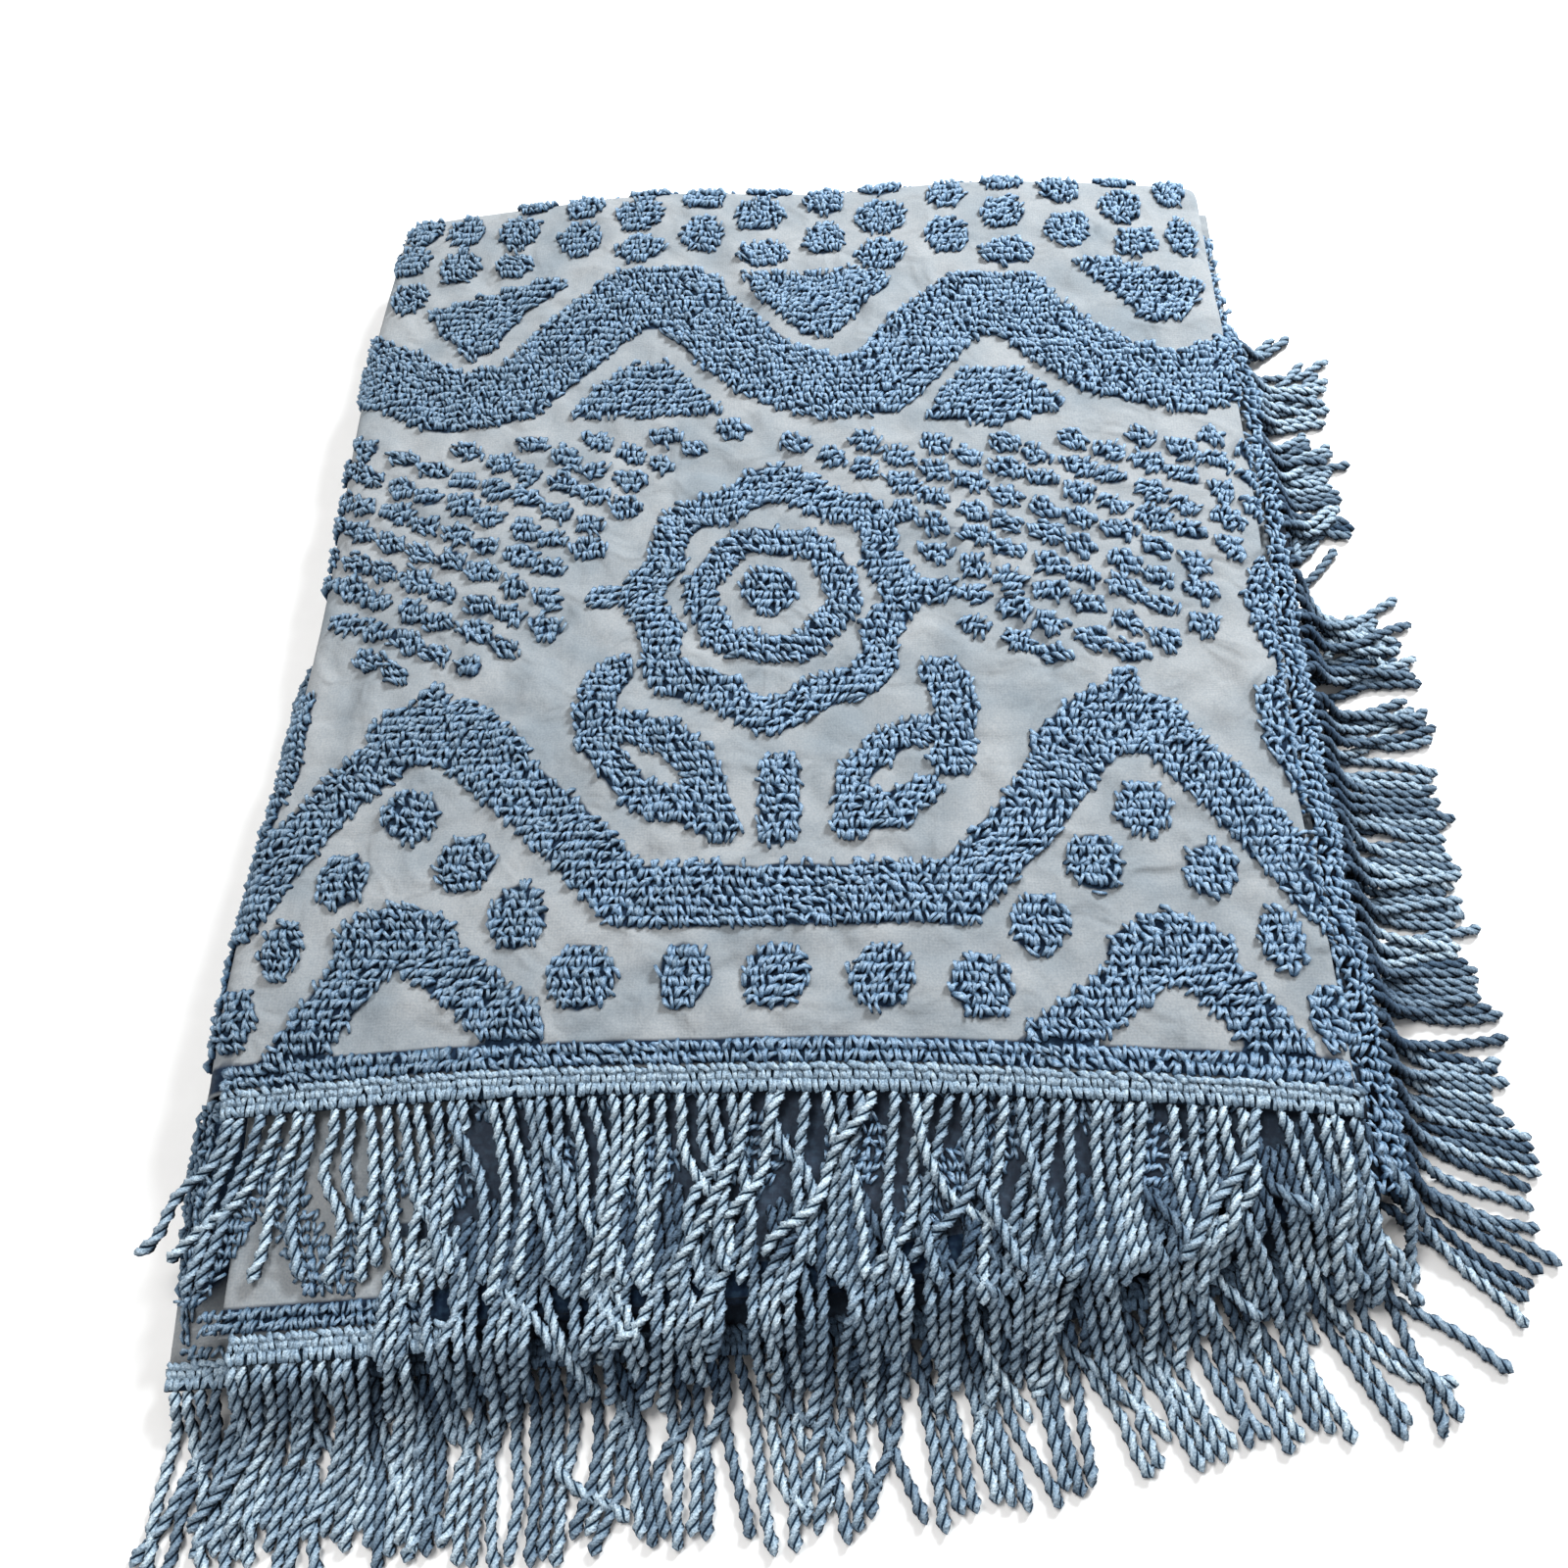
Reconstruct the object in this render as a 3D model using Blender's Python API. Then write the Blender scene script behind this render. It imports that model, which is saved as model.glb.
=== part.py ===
"""A tufted chenille bedspread with a bullion fringe, folded to a flat package that lies on a surface.

The cloth is folded in half twice across its width and once along its length, so eight layers lie on each
other: a four-layer section is carried round a hairpin at the far edge. Layers are counted from the bottom:
layer 7 is the top panel and layer 0 lies on the surface. The fringe stands in five runs on the hems that show.
X runs across the package, Y away from the near hem, Z up. Lengths are in metres.
"""

import math
from collections import namedtuple

import bmesh
import bpy
from mathutils import Vector

# The cloth and its stack
CLOTH_THICKNESS = 0.002
STACK_HEIGHT = 0.060
TOP_LAYER = 7
HALF_WIDTH = 0.28
FAR_TURN_START = 0.629
FAR_CORNER_DROP = 0.012
HEM_SAG = 0.013
HEM_BOW = 3.0
SIDE_DROP = 0.006
NEAR_HEIGHT_SHARE = 0.62
SLUMP_START = 0.05
SLUMP_END = -0.12
UNEVENNESS = 0.0018
LOWER_SKEW = 0.015
SIDE_WANDER = 0.0025
LOWER_WANDER_SHARE = 0.4
SKEW_START = 0.40
SKEW_RUN = 0.15

# The fringe: a heading strip with cords, four-sided here
SEAM_GAP = 0.0003
HEADING_WIDTH = 0.012
HEADING_THICKNESS = 0.0028
SIDE_HEADING_DROP = 0.004
CORD_SIDE = 0.0052
CORD_LENGTH = 0.085
CORD_STEPS = (0.20, 0.23, 0.27, 0.30)
CORD_CLEARANCE = 0.0012
TIER_RISES = (0.0, 0.0101, 0.0114)
SETTLE_LENGTH = 0.030
FALL_START = 0.006
FADE_HEIGHT = 0.004
FALL_REACHES = (0.028, 0.055, 0.060)

# Steps of the mesh
FRONT_STEPS = 15
TURN_STEPS = 6
UNDER_STEPS = 8

# Each layer's near hem, as Y at the left and at the right side, and X of its right side: a fold's centre
# where two layers join there, and the free edge where they don't
Layer = namedtuple("Layer", "number hem_left hem_right right_x")
LAYERS = {
    row.number: row
    for row in (
        Layer(7, 0.016, 0.018, 0.262),
        Layer(6, -0.095, -0.006, 0.262),
        Layer(5, -0.094, -0.024, 0.275),
        Layer(4, 0.016, -0.030, 0.268),
        Layer(3, -0.102, -0.036, 0.268),
        Layer(2, -0.088, -0.036, 0.275),
        Layer(1, -0.088, -0.042, 0.262),
        Layer(0, -0.102, -0.042, 0.262),
    )
}
OUTER_FOLD_X = -0.266
INNER_FOLD_X = -0.254

# The section across the width, from one free side edge to the other
Span = namedtuple("Span", "start_layer end_layer start_x end_x steps")
SECTION = (
    Span(4, 4, LAYERS[4].right_x, OUTER_FOLD_X, 8),
    Span(4, 7, OUTER_FOLD_X, OUTER_FOLD_X, 6),
    Span(7, 7, OUTER_FOLD_X, LAYERS[7].right_x, 15),
    Span(7, 6, LAYERS[7].right_x, LAYERS[6].right_x, 4),
    Span(6, 6, LAYERS[6].right_x, INNER_FOLD_X, 8),
    Span(6, 5, INNER_FOLD_X, INNER_FOLD_X, 4),
    Span(5, 5, INNER_FOLD_X, LAYERS[5].right_x, 6),
)

# The fringe runs: along the near hem from one X to another, or along the right side from one Y to another
# with its tier: how many other runs may lie under it. Its cords clear the cloth up to the layer under its own
Run = namedtuple("Run", "name layer along start end cords tier")
RUNS = (
    Run("foot_fringe_top", 7, "hem", -0.267, 0.258, 54, 2),
    Run("foot_fringe_middle", 6, "hem", -0.251, 0.260, 45, 1),
    Run("foot_fringe_low", 3, "hem", -0.276, 0.264, 44, 0),
    Run("side_fringe_top", 5, "side", -0.032, 0.505, 46, 1),
    Run("side_fringe_low", 3, "side", -0.038, 0.500, 44, 0),
)
TIER_LAYERS = (3, 6, 7)

# How each run's cords lie: the share along the run, the lean from straight out of the hem in degrees
# (positive towards +X on a hem and +Y on a side), how much more a cord turns to its tip, and how much of
# its length reaches out, as some cords curl up
Lean = namedtuple("Lean", "share lean bend reach")
LEANS = {
    "foot_fringe_top": (
        Lean(0.00, -6, -6, 1.00),
        Lean(0.10, 9, 6, 1.00),
        Lean(0.24, 11, -2, 1.00),
        Lean(0.56, -5, -3, 1.00),
        Lean(0.70, -8, 2, 1.00),
        Lean(0.82, -5, 6, 1.00),
        Lean(0.92, 2, 8, 1.00),
        Lean(1.00, 12, 8, 1.00),
    ),
    "foot_fringe_middle": (
        Lean(0.00, -5, -4, 1.00),
        Lean(0.20, -2, 4, 1.00),
        Lean(0.55, 4, -6, 1.00),
        Lean(0.80, 8, 8, 0.93),
        Lean(1.00, 24, 12, 1.00),
    ),
    "foot_fringe_low": (
        Lean(0.00, 2, 8, 1.00),
        Lean(0.25, 4, -4, 1.00),
        Lean(0.60, 5, 6, 0.98),
        Lean(0.85, 18, 8, 0.80),
        Lean(1.00, 36, 10, 0.90),
    ),
    "side_fringe_top": (
        Lean(0.00, -40, -8, 1.00),
        Lean(0.14, -20, 4, 1.00),
        Lean(0.36, -6, 4, 0.86),
        Lean(0.58, 8, 6, 0.92),
        Lean(0.67, 22, 8, 0.62),
        Lean(0.76, 28, 8, 0.66),
        Lean(0.88, 34, 8, 1.00),
        Lean(1.00, 38, 8, 1.00),
    ),
    "side_fringe_low": (
        Lean(0.00, -42, -8, 1.00),
        Lean(0.20, -20, 4, 1.00),
        Lean(0.46, -2, -2, 0.92),
        Lean(0.60, 8, 6, 0.90),
        Lean(0.68, 16, 8, 0.62),
        Lean(0.80, 22, 8, 0.82),
        Lean(1.00, 30, 6, 1.00),
    ),
}


def mix(a, b, share):
    return a + (b - a) * share


def ease(share):
    share = min(max(share, 0.0), 1.0)
    return share * share * (3 - 2 * share)


def across(x):
    """0 at the left side of the package and 1 at the right."""
    return min(max(0.5 + x / (2 * HALF_WIDTH), 0.0), 1.0)


def hem_y(layer, x):
    """Near hem of a layer: lower ones bow out towards the left, and all sag a little at both corners."""
    row = LAYERS[layer]
    return mix(row.hem_left, row.hem_right, across(x) ** HEM_BOW) - HEM_SAG * (x / HALF_WIDTH) ** 2


def far_turn_y(x):
    return FAR_TURN_START - FAR_CORNER_DROP * abs(x / HALF_WIDTH) ** 3


def stack_height(x, y):
    """Height of the whole stack: crowned across, slumped towards the near hems and a little uneven."""
    slump = ease((SLUMP_START - y) / (SLUMP_START - SLUMP_END))
    height = (STACK_HEIGHT - SIDE_DROP * (x / HALF_WIDTH) ** 4) * mix(1.0, NEAR_HEIGHT_SHARE, slump)
    swell = math.sin(21 * x + 1.1) * math.sin(17 * y + 0.4) + 0.6 * math.sin(34 * x - 13 * y)
    return height + UNEVENNESS * swell * (1 - slump)


def layer_z(layer, x, y):
    """Height of a layer's middle surface; between two layers it is in proportion."""
    half = CLOTH_THICKNESS / 2
    return half + layer / TOP_LAYER * (stack_height(x, y) - CLOTH_THICKNESS)


def side_wave(x, y):
    """How far the sides wander from straight in the upper half of the package."""
    return SIDE_WANDER * (x / HALF_WIDTH) ** 3 * math.sin(15 * y + (2.0 if x > 0 else 0.5))


def lower_shift(x, y):
    """The lower half wanders less, but reaches further left towards the near hem."""
    emerging = ease((SKEW_START - y) / SKEW_RUN) * mix(1.0, 0.45, ease(-y / SKEW_RUN))
    return LOWER_WANDER_SHARE * side_wave(x, y) - LOWER_SKEW * (1 - across(x)) * emerging


def section_points():
    """(x, layer, hem of the upper half, hem of the lower half) along the section across the width."""
    points = []
    pitch = (STACK_HEIGHT - CLOTH_THICKNESS) / TOP_LAYER
    for span in SECTION:
        rise = span.end_layer - span.start_layer
        outward = -1 if span.start_x < 0 else 1
        for step in range(span.steps + (span is SECTION[-1])):
            share = step / span.steps
            if rise == 0:
                x = mix(span.start_x, span.end_x, share)
                layer = span.start_layer
            else:
                turn = math.pi * share
                x = span.start_x + outward * abs(rise) / 2 * pitch * math.sin(turn)
                layer = span.start_layer + rise / 2 * (1 - math.cos(turn))
            upper_hem = mix(hem_y(span.start_layer, x), hem_y(span.end_layer, x), share)
            lower_hem = mix(
                hem_y(TOP_LAYER - span.start_layer, x), hem_y(TOP_LAYER - span.end_layer, x), share
            )
            points.append((x, layer, upper_hem, lower_hem))
    return points


def length_points(x, layer, upper_hem, lower_hem):
    """One line along the cloth's length: back over the top, round the far turn and forward underneath."""
    points = []
    far_y = far_turn_y(x)
    for step in range(FRONT_STEPS):
        y = mix(upper_hem, far_y, (step / FRONT_STEPS) ** 1.25)
        points.append(Vector((x + side_wave(x, y), y, layer_z(layer, x, y))))
    high = layer_z(layer, x, far_y)
    low = layer_z(TOP_LAYER - layer, x, far_y)
    radius = (high - low) / 2
    for step in range(TURN_STEPS):
        turn = math.pi * step / TURN_STEPS
        y = far_y + radius * math.sin(turn)
        z = (high + low) / 2 + radius * math.cos(turn)
        points.append(Vector((x + side_wave(x, far_y), y, z)))
    for step in range(UNDER_STEPS + 1):
        y = mix(far_y, lower_hem, step / UNDER_STEPS)
        settled = ease(2 * step / UNDER_STEPS)
        shift = mix(side_wave(x, far_y), lower_shift(x, y), settled)
        points.append(Vector((x + shift, y, layer_z(TOP_LAYER - layer, x, y))))
    return points


def make_material(name, colour, roughness):
    material = bpy.data.materials.new(name)
    material.use_nodes = True
    shader = material.node_tree.nodes["Principled BSDF"]
    shader.inputs["Base Color"].default_value = (*colour, 1.0)
    shader.inputs["Roughness"].default_value = roughness
    shader.inputs["Metallic"].default_value = 0.0
    return material


def add_object(name, bm, material):
    mesh = bpy.data.meshes.new(name)
    bm.to_mesh(mesh)
    bm.free()
    mesh.materials.append(material)
    piece = bpy.data.objects.new(name, mesh)
    bpy.context.scene.collection.objects.link(piece)
    return piece


def make_cloth(material):
    """The whole cloth as one sheet: a grid of its middle surface, thickened by a Solidify modifier."""
    bm = bmesh.new()
    lines = [[bm.verts.new(point) for point in length_points(*column)] for column in section_points()]
    for left, right in zip(lines, lines[1:]):
        for step in range(len(left) - 1):
            bm.faces.new((left[step], left[step + 1], right[step + 1], right[step]))
    cloth = add_object("bedspread_cloth", bm, material)
    cloth.data.shade_smooth()
    thickness = cloth.modifiers.new("Cloth thickness", "SOLIDIFY")
    thickness.thickness = CLOTH_THICKNESS
    thickness.offset = 0.0
    return cloth


def edge_point(run, place, out):
    """Middle of the heading strip at a place along the run, that far outside the cloth's edge."""
    if run.along == "hem":
        y = hem_y(run.layer, place)
        x = place
        outside = Vector((0, -1, 0))
        z = layer_z(run.layer, x, y - out)
    else:
        y = place
        x = LAYERS[run.layer].right_x
        outside = Vector((1, 0, 0))
        z = layer_z(run.layer, x, y) - SIDE_HEADING_DROP * ease(out / HEADING_WIDTH)
    shift = lower_shift(x, y) if run.layer < TOP_LAYER / 2 else side_wave(x, y)
    return Vector((x + shift, y, z)) + outside * out


def cloth_support(layer, reach, x, y):
    """Height of a layer's upper face, falling away outside its near hem and its right side."""
    beyond_hem = hem_y(layer, x) - y
    beyond_side = x - LAYERS[layer].right_x
    outside = max(beyond_hem, beyond_side, 0.0)
    inside_y = max(y, hem_y(layer, x))
    inside_x = min(x, LAYERS[layer].right_x)
    top = layer_z(layer, inside_x, inside_y) + CLOTH_THICKNESS / 2
    return top * (1 - ease((outside - FALL_START) / reach))


def cord_height(layer, tier, x, y):
    """Height at which a cord from a layer's hem lies: on the cloth, on the tier below or on the surface."""
    cloth = max(cloth_support(under, FALL_REACHES[tier], x, y) for under in range(layer))
    lowest = CORD_SIDE / 2
    lowest += cloth + CORD_CLEARANCE * min(1.0, cloth / FADE_HEIGHT)
    if tier > 0:
        lowest = max(lowest, cord_height(TIER_LAYERS[tier - 1], tier - 1, x, y) + TIER_RISES[tier])
    return lowest


def lean_at(run, share):
    """Lean, bend and reach of a cord at this share along its run."""
    rows = LEANS[run.name]
    for before, after in zip(rows, rows[1:]):
        if share <= after.share:
            part = ease((share - before.share) / (after.share - before.share))
            return [mix(low, high, part) for low, high in zip(before[1:], after[1:])]
    return rows[-1][1:]


def cord_route(run, number):
    """Points down the middle of one cord, from its root in the heading to its tip."""
    share = (number + 0.5) / run.cords
    place = mix(run.start, run.end, share)
    point = edge_point(run, place, SEAM_GAP + HEADING_WIDTH)
    lean, bend, reach = lean_at(run, share)
    lean += 0.8 * math.sin(1.9 * number + len(run.name))
    outward = -90 if run.along == "hem" else 0
    length = CORD_LENGTH * reach * (1 + 0.045 * math.sin(2.7 * number) + 0.035 * math.sin(0.61 * number + 1))
    root_z = point.z
    travelled = 0.0
    reached = 0.0
    route = [point]
    for part in CORD_STEPS:
        step = length * part
        reached += part
        heading = math.radians(outward + lean + bend * reached)
        flat = step
        for _ in range(3):
            x = point.x + flat * math.cos(heading)
            y = point.y + flat * math.sin(heading)
            settled = ease((travelled + flat) / SETTLE_LENGTH)
            z = mix(root_z, cord_height(run.layer, run.tier, x, y), settled)
            flat = math.sqrt(max(step**2 - (z - point.z) ** 2, (step / 2) ** 2))
        travelled += flat
        point = Vector((x, y, z))
        route.append(point)
    return route


def ring_round(bm, before, point, after):
    """Four vertices round a cord, its lower side level where the cord lies level."""
    ahead = (after - before).normalized()
    side = Vector((0, 0, 1)).cross(ahead).normalized() * CORD_SIDE / 2
    up = ahead.cross(side).normalized() * CORD_SIDE / 2
    corners = (up - side, up + side, side - up, -side - up)
    return [bm.verts.new(point + corner) for corner in corners]


def join_rings(bm, first, second):
    for index in range(4):
        following = (index + 1) % 4
        bm.faces.new((first[index], first[following], second[following], second[index]))


def heading_pair(bm, run, place, out):
    """An upper and a lower vertex of the heading strip."""
    middle = edge_point(run, place, out)
    half = Vector((0, 0, HEADING_THICKNESS / 2))
    return bm.verts.new(middle + half), bm.verts.new(middle - half)


def make_fringe(run, material):
    """One run of fringe: a heading strip 0.3 mm off the cloth's edge, its cords grown from its outer edge."""
    bm = bmesh.new()
    pitch = (run.end - run.start) / run.cords
    inner, outer = SEAM_GAP, SEAM_GAP + HEADING_WIDTH
    back = heading_pair(bm, run, run.start, inner)
    front = heading_pair(bm, run, run.start, outer)
    bm.faces.new((back[1], back[0], front[0], front[1]))
    for number in range(run.cords):
        middle = run.start + (number + 0.5) * pitch
        next_back = heading_pair(bm, run, middle, inner)
        near = heading_pair(bm, run, middle - CORD_SIDE / 2, outer)
        far = heading_pair(bm, run, middle + CORD_SIDE / 2, outer)
        join_headings(bm, back, next_back, near, front)
        bm.faces.new((next_back[0], far[0], near[0]))
        bm.faces.new((next_back[1], near[1], far[1]))
        route = cord_route(run, number)
        ring = [near[0], far[0], far[1], near[1]]
        for before, point, after in zip(route, route[1:], route[2:] + route[-1:]):
            next_ring = ring_round(bm, before, point, after)
            join_rings(bm, ring, next_ring)
            ring = next_ring
        bm.faces.new(ring)
        back, front = next_back, far
    next_back = heading_pair(bm, run, run.end, inner)
    near = heading_pair(bm, run, run.end, outer)
    join_headings(bm, back, next_back, near, front)
    bm.faces.new((next_back[0], next_back[1], near[1], near[0]))
    bmesh.ops.recalc_face_normals(bm, faces=bm.faces)
    return add_object(run.name, bm, material)


def join_headings(bm, back, next_back, next_front, front):
    """The heading between two cords: its upper, lower, inner and outer faces."""
    bm.faces.new((back[0], next_back[0], next_front[0], front[0]))
    bm.faces.new((back[1], front[1], next_front[1], next_back[1]))
    bm.faces.new((back[0], back[1], next_back[1], next_back[0]))
    bm.faces.new((front[0], next_front[0], next_front[1], front[1]))


def centre_on_floor(pieces):
    """Moves every piece so that the middle of the package's box on the surface is the origin."""
    graph = bpy.context.evaluated_depsgraph_get()
    corners = []
    for piece in pieces:
        evaluated = piece.evaluated_get(graph)
        corners += [vertex.co for vertex in evaluated.data.vertices]
    low = [min(corner[axis] for corner in corners) for axis in range(3)]
    high = [max(corner[axis] for corner in corners) for axis in range(3)]
    shift = Vector(((low[0] + high[0]) / 2, (low[1] + high[1]) / 2, low[2]))
    for piece in pieces:
        piece.location = -shift
    print("origin in design coordinates:", [round(value, 6) for value in shift])


def main():
    for piece in list(bpy.data.objects):
        bpy.data.objects.remove(piece)
    cloth_cotton = make_material("blue tufted cotton", (0.31, 0.42, 0.53), 0.92)
    cord_cotton = make_material("blue twisted cotton cord", (0.23, 0.33, 0.44), 0.90)
    pieces = [make_cloth(cloth_cotton)]
    pieces += [make_fringe(run, cord_cotton) for run in RUNS]
    centre_on_floor(pieces)


main()
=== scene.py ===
import math
from functools import reduce

import bpy
import numpy as np
from mathutils import Matrix, Vector


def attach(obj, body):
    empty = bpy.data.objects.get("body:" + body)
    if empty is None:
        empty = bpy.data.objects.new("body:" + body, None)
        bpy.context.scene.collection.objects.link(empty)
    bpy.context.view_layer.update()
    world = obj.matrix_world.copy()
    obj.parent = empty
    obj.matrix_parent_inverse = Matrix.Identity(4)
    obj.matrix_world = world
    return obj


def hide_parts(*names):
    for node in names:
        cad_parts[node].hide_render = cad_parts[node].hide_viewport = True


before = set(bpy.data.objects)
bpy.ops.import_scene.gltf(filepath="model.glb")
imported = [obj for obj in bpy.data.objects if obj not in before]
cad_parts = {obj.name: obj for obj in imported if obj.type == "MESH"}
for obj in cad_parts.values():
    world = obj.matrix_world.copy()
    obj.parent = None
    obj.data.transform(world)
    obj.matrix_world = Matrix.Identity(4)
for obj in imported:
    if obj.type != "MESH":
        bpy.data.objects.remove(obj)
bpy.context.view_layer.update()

# Everything below is worked out in the maker's layout: X 0 at the middle of the top panel,
# Y 0 at the cord roots of its hem, Z 0 on the surface. layoutOrigin brings it to the frame.
layoutOrigin = np.array([0.035037, 0.223487, 0.0])
rng = np.random.default_rng(11)  # a different number moves every loop and cord a little

cloth = {
    "thickness": 0.0018,
    "stackHeight": 0.06,  # over the flat part
    "solidThickness": 0.002,
    "topLayer": 7,
    "halfWidth": 0.28,
    "farTurnStart": 0.629,
    "farCornerDrop": 0.012,
    "hemSag": 0.013,
    "hemBow": 3.0,
    "sideDrop": 0.006,
    "nearHeightShare": 0.62,
    "slump": (0.05, -0.12),  # y where the stack starts to thin towards its near hems, and where it ends
    "unevenness": 0.0018,
    "sideWander": 0.0025,
    "lowerWanderShare": 0.4,
    "lowerSkew": 0.015,
    "skewStart": 0.4,
    "skewRun": 0.15,
    "nearSkewShare": 0.45,
    "reliefHeights": (0.001, 0.0006, 1.5),  # two soft waves, then the share for the creases
    "reliefFades": (0.05, 0.01),  # before the far turn, after the hem
    "frontSteps": 146,
    "turnSteps": 14,
    "underSteps": 18,
    "flat": (2.17, 1.41),  # the shown section laid out
}

# layer: near hem at the left, near hem at the right, right side
layers = {
    7: (0.016, 0.018, 0.262),
    6: (-0.095, -0.006, 0.262),
    5: (-0.094, -0.024, 0.275),
    4: (0.016, -0.03, 0.268),
    3: (-0.102, -0.036, 0.268),
    2: (-0.088, -0.036, 0.275),
    1: (-0.088, -0.042, 0.262),
    0: (-0.102, -0.042, 0.262),
}

# across the width, from one free side to the other: layer, layer, x, x, steps
section = (
    (4, 4, 0.268, -0.266, 10),
    (4, 7, -0.266, -0.266, 12),
    (7, 7, -0.266, 0.262, 118),
    (7, 6, 0.262, 0.262, 7),
    (6, 6, 0.262, -0.254, 20),
    (6, 5, -0.254, -0.254, 4),
    (5, 5, -0.254, 0.275, 12),
)

# soft troughs and ridges in the ground: x, y, degrees from +X, half length, half width, height, in metres
creases = (
    (0.14, 0.245, 128, 0.05, 0.0065, -0.0016), (0.105, 0.205, 105, 0.04, 0.0055, 0.0013),
    (0.165, 0.185, 62, 0.045, 0.006, -0.0013), (0.1, 0.33, 140, 0.055, 0.0055, 0.0014),
    (-0.11, 0.235, 50, 0.045, 0.006, -0.0014), (-0.145, 0.205, 78, 0.05, 0.0055, 0.0012),
    (-0.06, 0.128, 12, 0.045, 0.005, -0.0012), (0.055, 0.128, -14, 0.05, 0.005, -0.0012),
    (-0.215, 0.13, 70, 0.05, 0.006, 0.0014), (0.205, 0.215, 40, 0.06, 0.0065, -0.0014),
    (0.235, 0.15, 118, 0.04, 0.0055, 0.0012), (-0.075, 0.395, 160, 0.05, 0.0055, -0.0013),
    (0.045, 0.535, 118, 0.06, 0.007, 0.0022), (-0.035, 0.56, 112, 0.055, 0.0065, 0.0018),
    (0.18, 0.545, 68, 0.05, 0.006, 0.0016), (-0.19, 0.47, 25, 0.06, 0.006, -0.0012),
    (0.245, 0.285, 97, 0.11, 0.0075, 0.0018), (-0.23, 0.245, 84, 0.09, 0.007, 0.0014),
    (0.02, 0.07, 4, 0.15, 0.006, -0.001), (-0.16, 0.045, -8, 0.06, 0.005, 0.001),
)


def mix(a, b, share):
    return a + (b - a) * share


def ease(share):
    share = np.clip(share, 0.0, 1.0)
    return share * share * (3 - 2 * share)


def running(lengths):
    return np.append(0, np.cumsum(lengths))


def jitter(amount, shape=None):
    return rng.uniform(-amount, amount, shape)


def evenShares(steps, more=0):
    return np.arange(steps + more)[None, :] / steps


def sideways(x):
    return x / cloth["halfWidth"]


def across(x):
    return np.clip(0.5 + x / (2 * cloth["halfWidth"]), 0.0, 1.0)


def hemY(layer, x):
    left, right, _ = layers[layer]
    return mix(left, right, across(x) ** cloth["hemBow"]) - cloth["hemSag"] * sideways(x) ** 2


def farTurnY(x):
    return cloth["farTurnStart"] - cloth["farCornerDrop"] * np.abs(sideways(x)) ** 3


def stackHeight(x, y):
    start, end = cloth["slump"]
    slump = ease((start - y) / (start - end))
    height = cloth["stackHeight"] - cloth["sideDrop"] * sideways(x) ** 4
    swell = np.sin(21 * x + 1.1) * np.sin(17 * y + 0.4) + 0.6 * np.sin(34 * x - 13 * y)
    return height * mix(1.0, cloth["nearHeightShare"], slump) + cloth["unevenness"] * swell * (1 - slump)


def layerZ(layer, x, y):
    thickness = cloth["solidThickness"]
    return thickness / 2 + layer / cloth["topLayer"] * (stackHeight(x, y) - thickness)


def sideWave(x, y):
    return cloth["sideWander"] * sideways(x) ** 3 * np.sin(15 * y + np.where(x > 0, 2.0, 0.5))


def lowerShift(x, y):
    emerging = ease((cloth["skewStart"] - y) / cloth["skewRun"])
    emerging = emerging * mix(1.0, cloth["nearSkewShare"], ease(-y / cloth["skewRun"]))
    return cloth["lowerWanderShare"] * sideWave(x, y) - cloth["lowerSkew"] * (1 - across(x)) * emerging


def groundRelief(x, y):
    broad, fine, creased = cloth["reliefHeights"]
    relief = broad * np.sin(95 * x + 3 * np.sin(31 * y)) * np.sin(83 * y + 2 * np.sin(27 * x))
    relief += fine * np.sin(210 * x + 60 * y + 2.5 * np.sin(70 * y))
    for cx, cy, degrees, halfLength, halfWidth, height in creases:
        turn = math.radians(degrees)
        along = (x - cx) * math.cos(turn) + (y - cy) * math.sin(turn)
        beside = (y - cy) * math.cos(turn) - (x - cx) * math.sin(turn)
        beside = beside + 0.1 * along ** 2 / halfLength + 0.0012 * np.sin(160 * along)  # none is quite straight
        relief += creased * height * np.exp(-(beside / halfWidth) ** 2 - (along / halfLength) ** 4)
    return relief


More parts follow.
